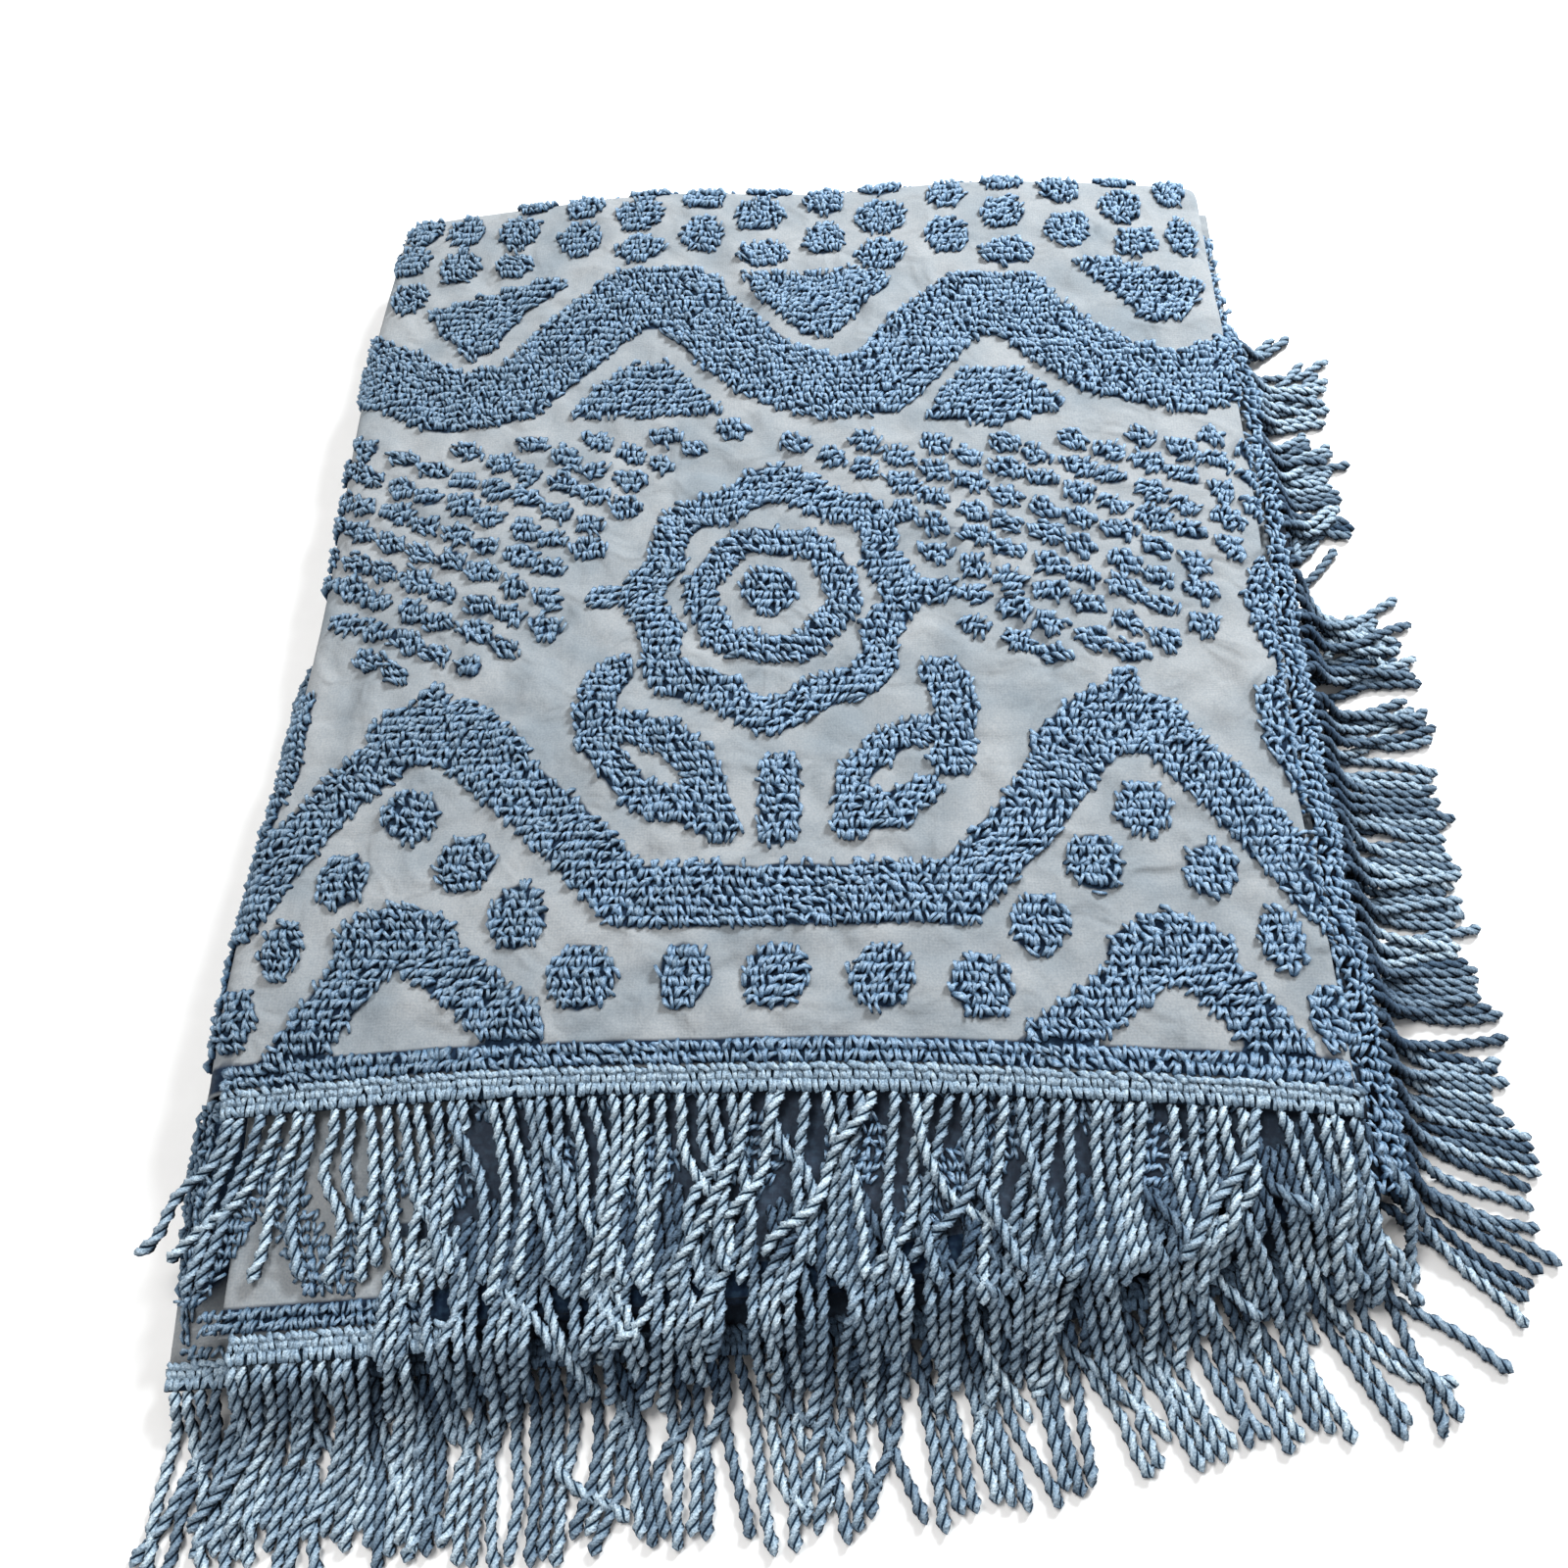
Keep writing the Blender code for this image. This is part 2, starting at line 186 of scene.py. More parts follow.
def foldedSheet():
    # middle surface as a grid: columns go across the width, rows along the length
    top = cloth["topLayer"]
    pitch = (cloth["stackHeight"] - cloth["solidThickness"]) / top
    columns = []
    for number, (first, last, x0, x1, steps) in enumerate(section):
        rise = last - first
        outward = -1 if x0 < 0 else 1
        for step in range(steps + (number == len(section) - 1)):
            share = step / steps
            x, layer = mix(x0, x1, share), first
            if rise:
                turn = math.pi * share
                x = x0 + outward * abs(rise) / 2 * pitch * math.sin(turn)
                layer = first + rise / 2 * (1 - math.cos(turn))
            upperHem = mix(hemY(first, x), hemY(last, x), share)
            lowerHem = mix(hemY(top - first, x), hemY(top - last, x), share)
            columns.append((x, layer, upperHem, lowerHem))
    x, layer, upperHem, lowerHem = np.array(columns).T[:, :, None]
    farY = farTurnY(x)

    frontY = mix(upperHem, farY, evenShares(cloth["frontSteps"]))
    frontX = x + sideWave(x, frontY)
    onTop = np.clip((layer - 6.2) / 0.8, 0.0, 1.0)  # only the top panel is creased
    beforeTurn, afterHem = cloth["reliefFades"]
    relief = groundRelief(x, frontY) * onTop * ease((farY - frontY) / beforeTurn) * ease((frontY - upperHem) / afterHem)
    frontZ = layerZ(layer, x, frontY) + relief

    high, low = layerZ(layer, x, farY), layerZ(top - layer, x, farY)
    radius = (high - low) / 2
    turn = math.pi * np.arange(cloth["turnSteps"])[None, :] / cloth["turnSteps"]
    turnY = farY + radius * np.sin(turn)
    turnZ = (high + low) / 2 + radius * np.cos(turn)
    turnX = x + sideWave(x, farY) + 0 * turn

    share = evenShares(cloth["underSteps"], 1)
    underY = mix(farY, lowerHem, share)
    shift = mix(sideWave(x, farY), lowerShift(x, underY), ease(2 * share))
    underX, underZ = x + shift, layerZ(top - layer, x, underY)
    parts = ((frontX, turnX, underX), (frontY, turnY, underY), (frontZ, turnZ, underZ))
    return np.stack([np.hstack(part) for part in parts], axis=-1)


def finishMesh(name, points, faces, material):
    # faces is an array of quads; a triangle repeats its last corner
    corners = [face[:3] if face[2] == face[3] else face for face in faces.tolist()]
    mesh = bpy.data.meshes.new(name)
    mesh.from_pydata((points - layoutOrigin).tolist(), [], corners)
    mesh.validate()
    mesh.shade_smooth()
    mesh.materials.append(material)
    piece = bpy.data.objects.new(name, mesh)
    bpy.context.scene.collection.objects.link(piece)
    return piece


def pointValues(piece, **values):
    for name, value in values.items():
        layer = piece.data.attributes.new(name, "FLOAT", "POINT")
        layer.data.foreach_set("value", value.astype(np.float32).ravel())


# The pattern is in millimetres on the panel, x from its left side and y up from the cord roots.
patternShare = 0.964  # layout metres for each 1000 of pattern y

flower = {
    "centre": (270, 307),
    "ring": 75,  # to the middle of the outer ring
    "scallop": 4.5,
    "stretch": 5,
    "half": 12.5,
    "thickSpot": (3.5, 1.68, 0.4),  # more half width, where and how far round, in radians
    "innerRing": 40,
    "innerWave": 1.5,
    "innerHalf": 10,
    "tip": 11,
    "tips": ((180, 97), (0, 95), (-87, 88)),  # degrees round, reach
}

roundDots = (  # x, y, half width, half height
    (183, 63, 17, 19), (234, 64, 14, 19), (279, 63, 17, 19), (331, 62, 16, 19), (379, 57, 16, 18),
    (147, 98, 15, 20), (116, 130, 16, 18), (83, 160, 15, 17), (53, 121, 14, 17), (29, 80, 11, 18), (13, 40, 10, 19),
    (409, 92, 15, 18), (439, 127, 15, 17), (466, 160, 15, 17), (497, 122, 14, 17), (526, 83, 12, 18), (543, 42, 10, 18),
    (20, 645, 13, 15), (16, 614, 12, 15), (20, 576, 12, 17), (50, 641, 13, 15), (50, 605, 14, 18),
    (96, 668, 13, 13), (88, 636, 14, 17), (88, 602, 13, 14), (130, 659, 14, 15), (131, 623, 15, 18),
    (174, 678, 15, 13), (170, 645, 17, 17), (173, 609, 17, 13), (214, 662, 15, 14), (214, 623, 15, 17),
    (257, 676, 15, 12), (252, 644, 17, 17), (255, 603, 17, 14), (296, 657, 14, 15), (296, 616, 14, 17),
    (334, 672, 15, 12), (334, 636, 18, 17), (334, 598, 17, 15), (378, 655, 14, 15), (378, 612, 15, 18),
    (416, 668, 15, 13), (416, 632, 15, 17), (416, 594, 18, 13), (455, 655, 14, 15), (458, 614, 15, 17),
    (493, 670, 14, 13), (495, 635, 14, 17), (502, 600, 14, 14), (529, 650, 12, 16), (534, 604, 11, 19),
    (268, 310, 17, 17), (-14, 628, 12, 16), (-12, 664, 12, 15),
)

bands = (  # half width, then the points along the middle
    (19, ((203, 109), (368, 109))), (18, ((203, 109), (163, 152), (122, 190))),
    (21, ((122, 194), (100, 214), (72, 212))), (9, ((84, 222), (84, 238))),
    (15, ((72, 206), (44, 178), (18, 134), (2, 100))), (18, ((368, 109), (407, 152), (432, 190))),
    (21, ((430, 194), (452, 216), (476, 212))), (9, ((463, 222), (463, 238))),
    (16, ((480, 206), (508, 172), (540, 126), (556, 100))), (18, ((72, 84), (86, 90), (100, 84))),
    (14, ((78, 80), (60, 50), (42, 16))), (15, ((96, 82), (122, 62), (152, 36))),
    (18, ((458, 74), (472, 82), (486, 74))), (14, ((462, 70), (440, 50), (412, 30))),
    (14, ((482, 70), (502, 48), (520, 22))), (27, ((-40, 540), (0, 511), (34, 490))),
    (27, ((34, 490), (62, 472), (104, 480), (150, 540), (170, 556))), (29, ((170, 560), (206, 560))),
    (27, ((206, 556), (262, 490), (300, 470), (330, 472), (372, 530), (390, 545))), (29, ((390, 546), (418, 544))),
    (26, ((418, 540), (470, 486), (518, 468), (556, 486), (590, 520))), (11.5, ((278, 187), (278, 149))),
    (12, ((184, 252), (179, 245), (176, 228), (177, 208))), (10, ((177, 206), (188, 190), (201, 173))),
    (11, ((203, 171), (218, 164), (236, 160), (248, 151))),
    (11, ((180, 216), (198, 213), (217, 208), (231, 194), (240, 176), (242, 162))),
    (12, ((364, 250), (368, 243), (372, 226), (371, 206), (369, 190))), (10, ((366, 212), (350, 210), (333, 202))),
    (10, ((333, 200), (318, 186), (316, 172))), (12, ((318, 168), (330, 158), (338, 158))),
    (9, ((336, 162), (355, 172))), (11, ((324, 162), (316, 153))), (8, ((5, 242), (8, 190), (1, 158))),
    (8, ((-4, 150), (-9, 96), (-4, 28))), (9, ((553, 326), (543, 300), (550, 270), (562, 252))),
    (10, ((562, 250), (543, 228), (546, 198), (558, 168), (568, 148))), (7, ((562, 140), (566, 60))),
    (8, ((566, 420), (563, 350))),
)

filledShapes = (
    ((35, 562), (122, 588), (126, 575), (100, 552), (84, 518), (68, 512), (42, 545)),
    ((241, 583), (335, 581), (341, 566), (304, 518), (284, 520), (252, 560)),
    ((457, 583), (486, 585), (544, 556), (528, 526), (504, 520), (490, 541)),
    ((138, 455), (153, 483), (173, 501), (198, 501), (217, 480), (237, 454)),
    ((358, 442), (373, 474), (389, 488), (416, 488), (440, 462), (446, 452), (405, 437)),
    ((2, 450), (26, 438), (12, 418)),
)

# slanting rows of small oval dots: start x, y, step x, y, down to the next row, then row: first and last
dotFields = (
    {"start": (60, 414), "step": (20, -9.7), "down": 22.5,
     "rows": {-5: (9, 9), -4: (7, 8), -3: (5, 7), -2: (3, 6), -1: (1, 6), 0: (-1, 5), 1: (-3, 5),
              2: (-4, 4), 3: (-4, 4), 4: (-4, 4), 5: (-3, 3), 6: (-2, 2), 7: (-1, 0)}},
    {"start": (406, 379), "step": (20.6, -10.9), "down": 22,
     "rows": {-5: (6, 7), -4: (4, 7), -3: (2, 7), -2: (0, 6), -1: (-2, 6), 0: (-4, 5), 1: (-6, 5),
              2: (-3, 5), 3: (-2, 4), 4: (-1, 3), 5: (-1, 1)}},
)
smallDot = {"half": (10.4, 8.0), "slant": -0.25, "uneven": (1.2, 0.9), "astray": (1.6, 1.3)}


def alongLine(x, y, points):
    best = np.full(x.shape, 1e9)
    for (ax, ay), (bx, by) in zip(points, points[1:]):
        lengthSquared = (bx - ax) ** 2 + (by - ay) ** 2
        share = np.clip(((x - ax) * (bx - ax) + (y - ay) * (by - ay)) / lengthSquared, 0.0, 1.0)
        best = np.minimum(best, np.hypot(x - mix(ax, bx, share), y - mix(ay, by, share)))
    return best


def insideShape(x, y, points):
    inside = np.zeros(x.shape, bool)
    for (ax, ay), (bx, by) in zip(points, points[1:] + points[:1]):
        crossing = (ay > y) != (by > y)
        inside ^= crossing & (x < ax + (y - ay) * (bx - ax) / (by - ay + 1e-9))
    return np.where(inside, 1, -1) * alongLine(x, y, points + points[:1])


def ovalDot(x, y, cx, cy, halfWide, halfHigh, slant=0.0):
    dx, dy = x - cx, (y - cy) - slant * (x - cx)
    return (1 - np.sqrt((dx / halfWide) ** 2 + (dy / halfHigh) ** 2)) * min(halfWide, halfHigh)


def together(fields):
    # shapes joined: how far inside the nearest of them a place lies
    return reduce(np.maximum, fields, -1e3)


def dotsField(x, y, dots, slant=0.0):
    return together(ovalDot(x, y, *dot, slant=slant) for dot in dots)


def bandsField(x, y, rows):
    return together(half - alongLine(x, y, points) for half, points in rows)


def placeSmallDots():
    (astrayX, astrayY), (halfWide, halfHigh), (wider, higher) = (smallDot[key] for key in ("astray", "half", "uneven"))
    dots = []
    for field in dotFields:
        (startX, startY), (stepX, stepY) = field["start"], field["step"]
        for row, (first, last) in field["rows"].items():
            for place in range(first, last + 1):
                one, two = math.sin(3.1 * place + 5.3 * row), math.sin(4.7 * place - 2.9 * row)
                x = startX + stepX * place + astrayX * one
                y = startY + stepY * place - field["down"] * row + astrayY * two
                dots.append((x, y, halfWide + wider * two, halfHigh + higher * one))
    return dots


smallDots = placeSmallDots()


def flowerField(x, y):
    dx, dy = x - flower["centre"][0], y - flower["centre"][1]
    distance, angle = np.hypot(dx, dy), np.arctan2(dy, dx)
    ring = flower["ring"] + flower["scallop"] * np.cos(8 * angle) + flower["stretch"] * np.cos(2 * angle + math.pi)
    more, spot, spread = flower["thickSpot"]
    outer = flower["half"] + more * np.exp(-((angle - spot) / spread) ** 2) - np.abs(distance - ring)
    innerRing = flower["innerRing"] + flower["innerWave"] * np.cos(6 * angle + 0.6)
    parts = [outer, flower["innerHalf"] - np.abs(distance - innerRing)]
    for degrees, reach in flower["tips"]:
        tipX, tipY = reach * math.cos(math.radians(degrees)), reach * math.sin(math.radians(degrees))
        parts.append(flower["tip"] - np.hypot(dx - tipX, dy - tipY) * 1.1)
    return together(parts)


def tuftField(x, y):
    # how far inside the tufted shapes a place lies, in millimetres; negative outside
    filled = together(insideShape(x, y, shape) for shape in filledShapes)
    field = together((dotsField(x, y, roundDots), dotsField(x, y, smallDots, smallDot["slant"]),
                      bandsField(x, y, bands), flowerField(x, y), filled))
    return field + 0.9 * np.sin(0.9 * x + 1.3 * y) * np.sin(1.1 * y - 0.35 * x)  # ragged, as rows of loops end


def addNode(tree, kind, settings, sockets):
    # a socket takes a value, or the output that is to be joined to it
    node = tree.nodes.new("ShaderNode" + kind)
    for name, value in settings.items():
        setattr(node, name, value)
    for socket, value in sockets.items():
        if isinstance(value, bpy.types.NodeSocket):
            tree.links.new(value, node.inputs[socket])
        else:
            node.inputs[socket].default_value = value
    return node


def newMaterial(name, roughness, sheen):
    material = bpy.data.materials.new(name)
    material.use_nodes = True
    shader = material.node_tree.nodes["Principled BSDF"]
    finish = {"Roughness": roughness, "Specular IOR Level": 0.08, "Sheen Weight": sheen,
              "Sheen Roughness": 0.6, "Sheen Tint": (0.85, 0.92, 1.0, 1.0)}
    for socket, value in finish.items():
        shader.inputs[socket].default_value = value
    coordinates = addNode(material.node_tree, "TexCoord", {}, {}).outputs["Object"]
    return material, material.node_tree, shader, coordinates


def colourRamp(tree, source, stops):
    node = addNode(tree, "ValToRGB", {}, {"Fac": source})
    while len(node.color_ramp.elements) < len(stops):
        node.color_ramp.elements.new(0.5)
    for element, (place, colour) in zip(node.color_ramp.elements, stops):
        element.position = place
        element.color = (*colour, 1.0)
    return node.outputs["Color"]


def noise(tree, vector, scale, detail=2.0, distortion=0.0):
    sockets = {"Vector": vector, "Scale": scale, "Detail": detail, "Distortion": distortion}
    return addNode(tree, "TexNoise", {}, sockets).outputs["Fac"]


def mixColours(tree, factor, first, second, blend="MIX"):
    settings = {"data_type": "RGBA", "blend_type": blend}
    return addNode(tree, "Mix", settings, {0: factor, 6: first, 7: second}).outputs[2]


def addBump(tree, heights, strength, distance, **below):
    sockets = {"Strength": strength, "Distance": distance, "Height": heights, **below}
    return addNode(tree, "Bump", {}, sockets).outputs["Normal"]


def dress(tree, shader, colour, normal=None):
    tree.links.new(colour, shader.inputs["Base Color"])
    if normal:
        tree.links.new(normal, shader.inputs["Normal"])


ground = {
    "pale": (0.288, 0.303, 0.316),
    "shade": (0.206, 0.234, 0.258),
    "patches": 24,
    "flecks": 900,
    "fleckTones": ((0.3, (0.86, 0.88, 0.9)), (0.7, (1.08, 1.07, 1.06))),
    # painted shade: near-black, mottled ground under the tufted shapes and in the fringe's shadow
    "shadeColours": ((0.44, (0.005, 0.014, 0.034)), (0.66, (0.016, 0.036, 0.066))),
    "shadeMottle": 320,
    "threads": 1250,  # a metre, each way
    "puckers": (34, 0.95, 0.007),  # scale, strength, distance of the bump
    "weave": (0.6, 0.0007),
}


def groundMaterial():
    material, tree, shader, coordinates = newMaterial("plain woven cotton ground", 0.9, 0.06)
    patches = noise(tree, coordinates, ground["patches"], 3.0)
    shades = colourRamp(tree, patches, ((0.32, ground["shade"]), (0.62, ground["pale"])))
    flecks = colourRamp(tree, noise(tree, coordinates, ground["flecks"]), ground["fleckTones"])
    flecked = mixColours(tree, 1.0, shades, flecks, "MULTIPLY")
    # painted shade: the mask turns the ground near-black between the loops and under the fringe
    tufted = addNode(tree, "Attribute", {"attribute_name": "tufted"}, {}).outputs["Fac"]
    shadeShare = colourRamp(tree, tufted, ((0.52, (0, 0, 0)), (0.72, (1, 1, 1))))
    under = colourRamp(tree, noise(tree, coordinates, ground["shadeMottle"]), ground["shadeColours"])
    coloured = mixColours(tree, shadeShare, flecked, under)

    threadMap = addNode(tree, "UVMap", {"uv_map": "threads"}, {}).outputs["UV"]
    sockets = {"Vector": threadMap, "Scale": ground["threads"] / 20 * math.pi, "Distortion": 1.5, "Detail": 1.0}
    warp, weft = (addNode(tree, "TexWave", {"bands_direction": way}, sockets).outputs["Fac"] for way in "XY")
    weave = mixColours(tree, 0.88, mixColours(tree, 0.5, warp, weft), noise(tree, coordinates, 260, 4.0))
    scale, *soft = ground["puckers"]
    puckered = addBump(tree, noise(tree, coordinates, scale, 1.5, 0.8), *soft)
    dress(tree, shader, coloured, addBump(tree, weave, *ground["weave"], Normal=puckered))
    return material


# each yarn: rise is 0 in its grooves and 1 on its crown, and its ramp paints shade in the grooves and a highlight on
# the crown; tone goes from its darkest loops or cords to the lightest
yarns = {
    "looped tuft yarn": {
        "rise": ((0.0, (0.002, 0.011, 0.036)), (0.32, (0.018, 0.056, 0.126)),
                 (0.6, (0.12, 0.214, 0.335)), (1.0, (0.32, 0.45, 0.61))),
        "tone": ((0.0, (0.84, 0.8, 0.75)), (0.5, (1.04, 1.03, 1.02)), (1.0, (1.3, 1.24, 1.17))),
        "fibres": 1500,
        "sheen": 0.05,
    },
    "twisted cotton cord": {
        "rise": ((0.0, (0.004, 0.012, 0.026)), (0.2, (0.012, 0.032, 0.06)),
                 (0.46, (0.285, 0.39, 0.48)), (1.0, (0.565, 0.682, 0.775))),
        "tone": ((0.0, (0.09, 0.135, 0.195)), (0.5, (0.66, 0.71, 0.76)), (1.0, (1.16, 1.14, 1.11))),
        "fibres": 1100,
        "sheen": 0.04,
    },
}

# lit: 0 on the underside of a yarn, where no light gets
undersides = ((0.0, (0.004, 0.01, 0.02)), (0.34, (0.03, 0.056, 0.088)),
              (0.6, (0.62, 0.67, 0.73)), (0.85, (1, 1, 1)))
fibreTones = ((0.36, (0.55, 0.6, 0.66)), (0.63, (1.26, 1.22, 1.18)))


def yarnMaterial(name):
    yarn = yarns[name]
    material, tree, shader, coordinates = newMaterial(name, 0.88, yarn["sheen"])
    fibres = noise(tree, coordinates, yarn["fibres"], 3.0)
    coloured = colourRamp(tree, fibres, fibreTones)
    for attribute, stops in (("rise", yarn["rise"]), ("lit", undersides), ("tone", yarn["tone"])):
        source = addNode(tree, "Attribute", {"attribute_name": attribute}, {}).outputs["Fac"]
        coloured = mixColours(tree, 1.0, colourRamp(tree, source, stops), coloured, "MULTIPLY")
    dress(tree, shader, coloured, addBump(tree, fibres, 0.75, 0.0007))
    return material


groundCotton = groundMaterial()
tuftCotton, cordCotton = (yarnMaterial(name) for name in yarns)
print("materials mixed")

grid = foldedSheet()
columnCount, rowCount = grid.shape[:2]
firstTop = section[0][4] + section[1][4]  # the columns of the top panel
lastTop = firstTop + section[2][4]
patternStart = 14  # pattern x where the top panel starts


def patternPlaces():
    # pattern x for each column and y for each point of the sheet, both following its folds
    middleRow = grid[:, cloth["frontSteps"] // 2]
    arc = running(np.linalg.norm(np.diff(middleRow[:, [0, 2]], axis=0), axis=1))
    stepAlong = np.linalg.norm(np.diff(grid, axis=1), axis=2)
    length = np.hstack([np.zeros((columnCount, 1)), np.cumsum(stepAlong, axis=1)])
    return (arc - arc[firstTop]) * 1000 + patternStart, (grid[:, :1, 1] + length) * 1000 / patternShare


patternX, patternY = patternPlaces()
sheetX = np.repeat(patternX[:, None], rowCount, axis=1)
fromHem, fromEnd = patternY - patternY[:, :1], patternY[:, -1:] - patternY

# dots on the far roll, and bands again on the sides of the lower half
rollDots = [(x + (20 if row % 2 else 0), 700 + 34 * row, 15, 15) for row in range(2) for x in range(-20, 560, 41)]
sideBands = (
    (12, ((-12, 800), (-30, 860), (-12, 930), (-32, 1000), (-12, 1070), (-30, 1140),
          (-12, 1210), (-30, 1280), (-12, 1350), (-28, 1400))),
    (9, ((-48, 830), (-44, 900), (-50, 980), (-44, 1060), (-50, 1130), (-46, 1220), (-50, 1320))),
)

# where the ground is painted in shade: the hem rows, and the lower tiers under the fringe
groundShade = {
    "border": 7.5,  # half width of the two rows along a hem, and how far in their middle is
    "besideTop": 4,  # columns past the top panel where the lower tiers start
    "shownTier": -0.172,  # past this x, in metres, the ground between the cords is painted in shadow
    "shownEnd": -0.2,
    "shadowDepth": 130,
    "shadowValue": 1.6,
    "softness": 8,
}


def sheetField():
    # the tufted shapes over the whole sheet, and where its ground is painted in shadow
    border = groundShade["border"] - np.abs(fromHem - groundShade["border"])
    field = together((tuftField(sheetX, patternY), dotsField(sheetX, patternY, rollDots),
                      bandsField(sheetX, patternY, sideBands), border))
    # the lower tiers are painted in deep shadow between the cords, apart from a corner at the left
    column = np.arange(columnCount)[:, None]
    ragged = 0.006 * np.sin(patternY / 7) + 0.004 * np.sin(patternY / 2.9)
    beside = (column > lastTop + groundShade["besideTop"]) | (column < firstTop - groundShade["besideTop"])
    shadedTier = beside & (grid[..., 0] > groundShade["shownTier"] + ragged) & (fromHem < groundShade["shadowDepth"])
    shadedEnd = (grid[..., 0] > groundShade["shownEnd"] + ragged) & (fromEnd < groundShade["shadowDepth"])
    return np.where(shadedTier | shadedEnd, np.maximum(field, groundShade["shadowValue"]), field)


index = np.arange(columnCount * rowCount).reshape(columnCount, rowCount)
sheetFaces = np.stack([index[:-1, :-1], index[1:, :-1], index[1:, 1:], index[:-1, 1:]], axis=-1).reshape(-1, 4)
bedspread = finishMesh("bedspread_sheet", grid.reshape(-1, 3), sheetFaces, groundCotton)
# painted shade mask: the ground is painted near-black under the tufted shapes, for the shade between the loops, and on
# the lower tiers, for the fringe's shadow
pointValues(bedspread, tufted=np.clip(0.5 + sheetField() / groundShade["softness"], 0, 1))
threadLayer = bedspread.data.uv_layers.new(name="threads")
cornerIndex = np.empty(len(bedspread.data.loops), np.int32)
bedspread.data.loops.foreach_get("vertex_index", cornerIndex)
threadPlaces = np.stack([sheetX.ravel()[cornerIndex], patternY.ravel()[cornerIndex]], axis=-1)
threadLayer.data.foreach_set("uv", threadPlaces.astype(np.float32).ravel() / 1000)
thickness = bedspread.modifiers.new("Cloth thickness", "SOLIDIFY")
thickness.thickness = cloth["thickness"]
thickness.offset = 0.0
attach(bedspread, "root")
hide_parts("bedspread_cloth")
print("bedspread folded:", columnCount, "by", rowCount, "points")


def normalize(vectors):
    return vectors / np.maximum(np.linalg.norm(vectors, axis=-1, keepdims=True), 1e-12)


def surfaceAt(x, y):
    # point, across and along directions of the sheet at pattern places
    column = np.clip(np.searchsorted(patternX, x) - 1, 0, columnCount - 2)
    shareX = np.clip((x - patternX[column]) / (patternX[column + 1] - patternX[column]), 0, 1)[:, None]
    point, ahead = [], []
    for side in (0, 1):
        place = np.empty(len(x))
        for one in np.unique(column):
            chosen = column == one
            place[chosen] = np.interp(y[chosen], patternY[one + side], np.arange(rowCount))
        row = np.clip(place.astype(int), 0, rowCount - 2)
        low, high = grid[column + side, row], grid[column + side, row + 1]
        point.append(mix(low, high, (place - row)[:, None]))
        ahead.append(high - low)
    return mix(*point, shareX), normalize(point[1] - point[0]), normalize(mix(*ahead, shareX))


loop = {
    "rings": 3,
    "sides": 4,
    "spread": 0.39,  # of the rings along the loop
    "thick": (0.26, 0.06),  # at its ends, and more on its crown
    "width": (0.52, 0.14),
    "arch": 0.7,
    "curl": 0.55,
}


def loopTemplate():
    # a yarn loop arched along +Y: unit width, length and height; curl moves its ends sideways
    rings, sides = loop["rings"], loop["sides"]
    points, rise, curl = [(0.0, -0.5, 0.0)], [0.0], [loop["curl"]]
    for ring in range(rings):
        share = 0.5 + loop["spread"] * (ring - 1)
        bend = math.sin(math.pi * share)
        slope = 0.35 * math.pi * math.cos(math.pi * share)
        thick, wide = (start + more * bend for start, more in (loop["thick"], loop["width"]))
        for side in range(sides):
            turn = 2 * math.pi * (side + 0.5) / sides
            up = math.sin(turn) * thick
            height = loop["arch"] * bend + up
            points.append((math.cos(turn) * wide, share - 0.5 - slope * up * 0.45, height))
            # rise: painted shade low on the loop, painted highlight on its crown
            rise.append(min(1.0, max(0.0, 1.05 * height)))
            curl.append(loop["curl"] * math.cos(math.pi * share) ** 3)
    points.append((0.0, 0.5, 0.0))
    rise.append(0.0)
    curl.append(-loop["curl"])
    faces, last = [], len(points) - 1
    for side in range(sides):
        after = (side + 1) % sides
        faces.append((0, 1 + after, 1 + side, 1 + side))
        for base in range(1, last - sides, sides):
            faces.append((base + side, base + after, base + sides + after, base + sides + side))
        faces.append((last - sides + side, last - sides + after, last, last))
    return [np.array(values) for values in (points, faces, rise, curl)]


loopPoints, loopFaces, loopRise, loopCurl = loopTemplate()


def loopsAt(points, acrossWay, alongWay, sizes, slants, leans, curls):
    # one loop at each point; sizes are width, length, height; slant turns it on the cloth, lean tips it sideways
    up = normalize(np.cross(acrossWay, alongWay))
    cosine, sine = np.cos(slants)[:, None], np.sin(slants)[:, None]
    beside = acrossWay * cosine + alongWay * sine
    along = alongWay * cosine - acrossWay * sine
    upward = normalize(up + beside * leans[:, None])
    local = np.repeat(loopPoints[None], len(points), axis=0)
    local[..., 0] += curls[:, None] * loopCurl[None]
    local *= sizes[:, None, :]
    made = points[:, None] + local[..., :1] * beside[:, None] + local[..., 1:2] * along[:, None]
    made = made + local[..., 2:] * upward[:, None]
    faces = (loopFaces[None] + np.arange(len(points))[:, None, None] * len(loopPoints)).reshape(-1, 4)
    return made.reshape(-1, 3), faces, np.tile(loopRise, len(points))


tufts = {
    "rowPitch": 5.6,  # millimetres between rows, and between loops in a row
    "loopPitch": 2.05,
    "jitter": (0.7, 0.55),
    "stagger": 1.4,  # of every second row
    "margin": 0.6,  # how far inside its shape a loop stands
    "sizes": (0.00175, 0.0066, 0.0044),  # width, length, height
    "uneven": ((0.8, 1.25), (0.75, 1.2), (0.68, 1.28)),
    "slant": 0.36,  # spread, in radians
    "lean": 0.4,  # spread, as a slope
    "sink": 0.0002,
    "lowest": 0.0015,
    "tones": (0.05, 0.75),
    "sideLight": (0.55, 0.2),  # painted light, as from the right: darker to the left, lighter to the right
    "hemRows": (4.0, 9.5),  # millimetres up from the hem
    "hemJitter": (0.6, 0.5),
    "hemPitchShare": 0.95,
    "lowerSizeShare": 0.9,  # of the loops on the lower tiers
}


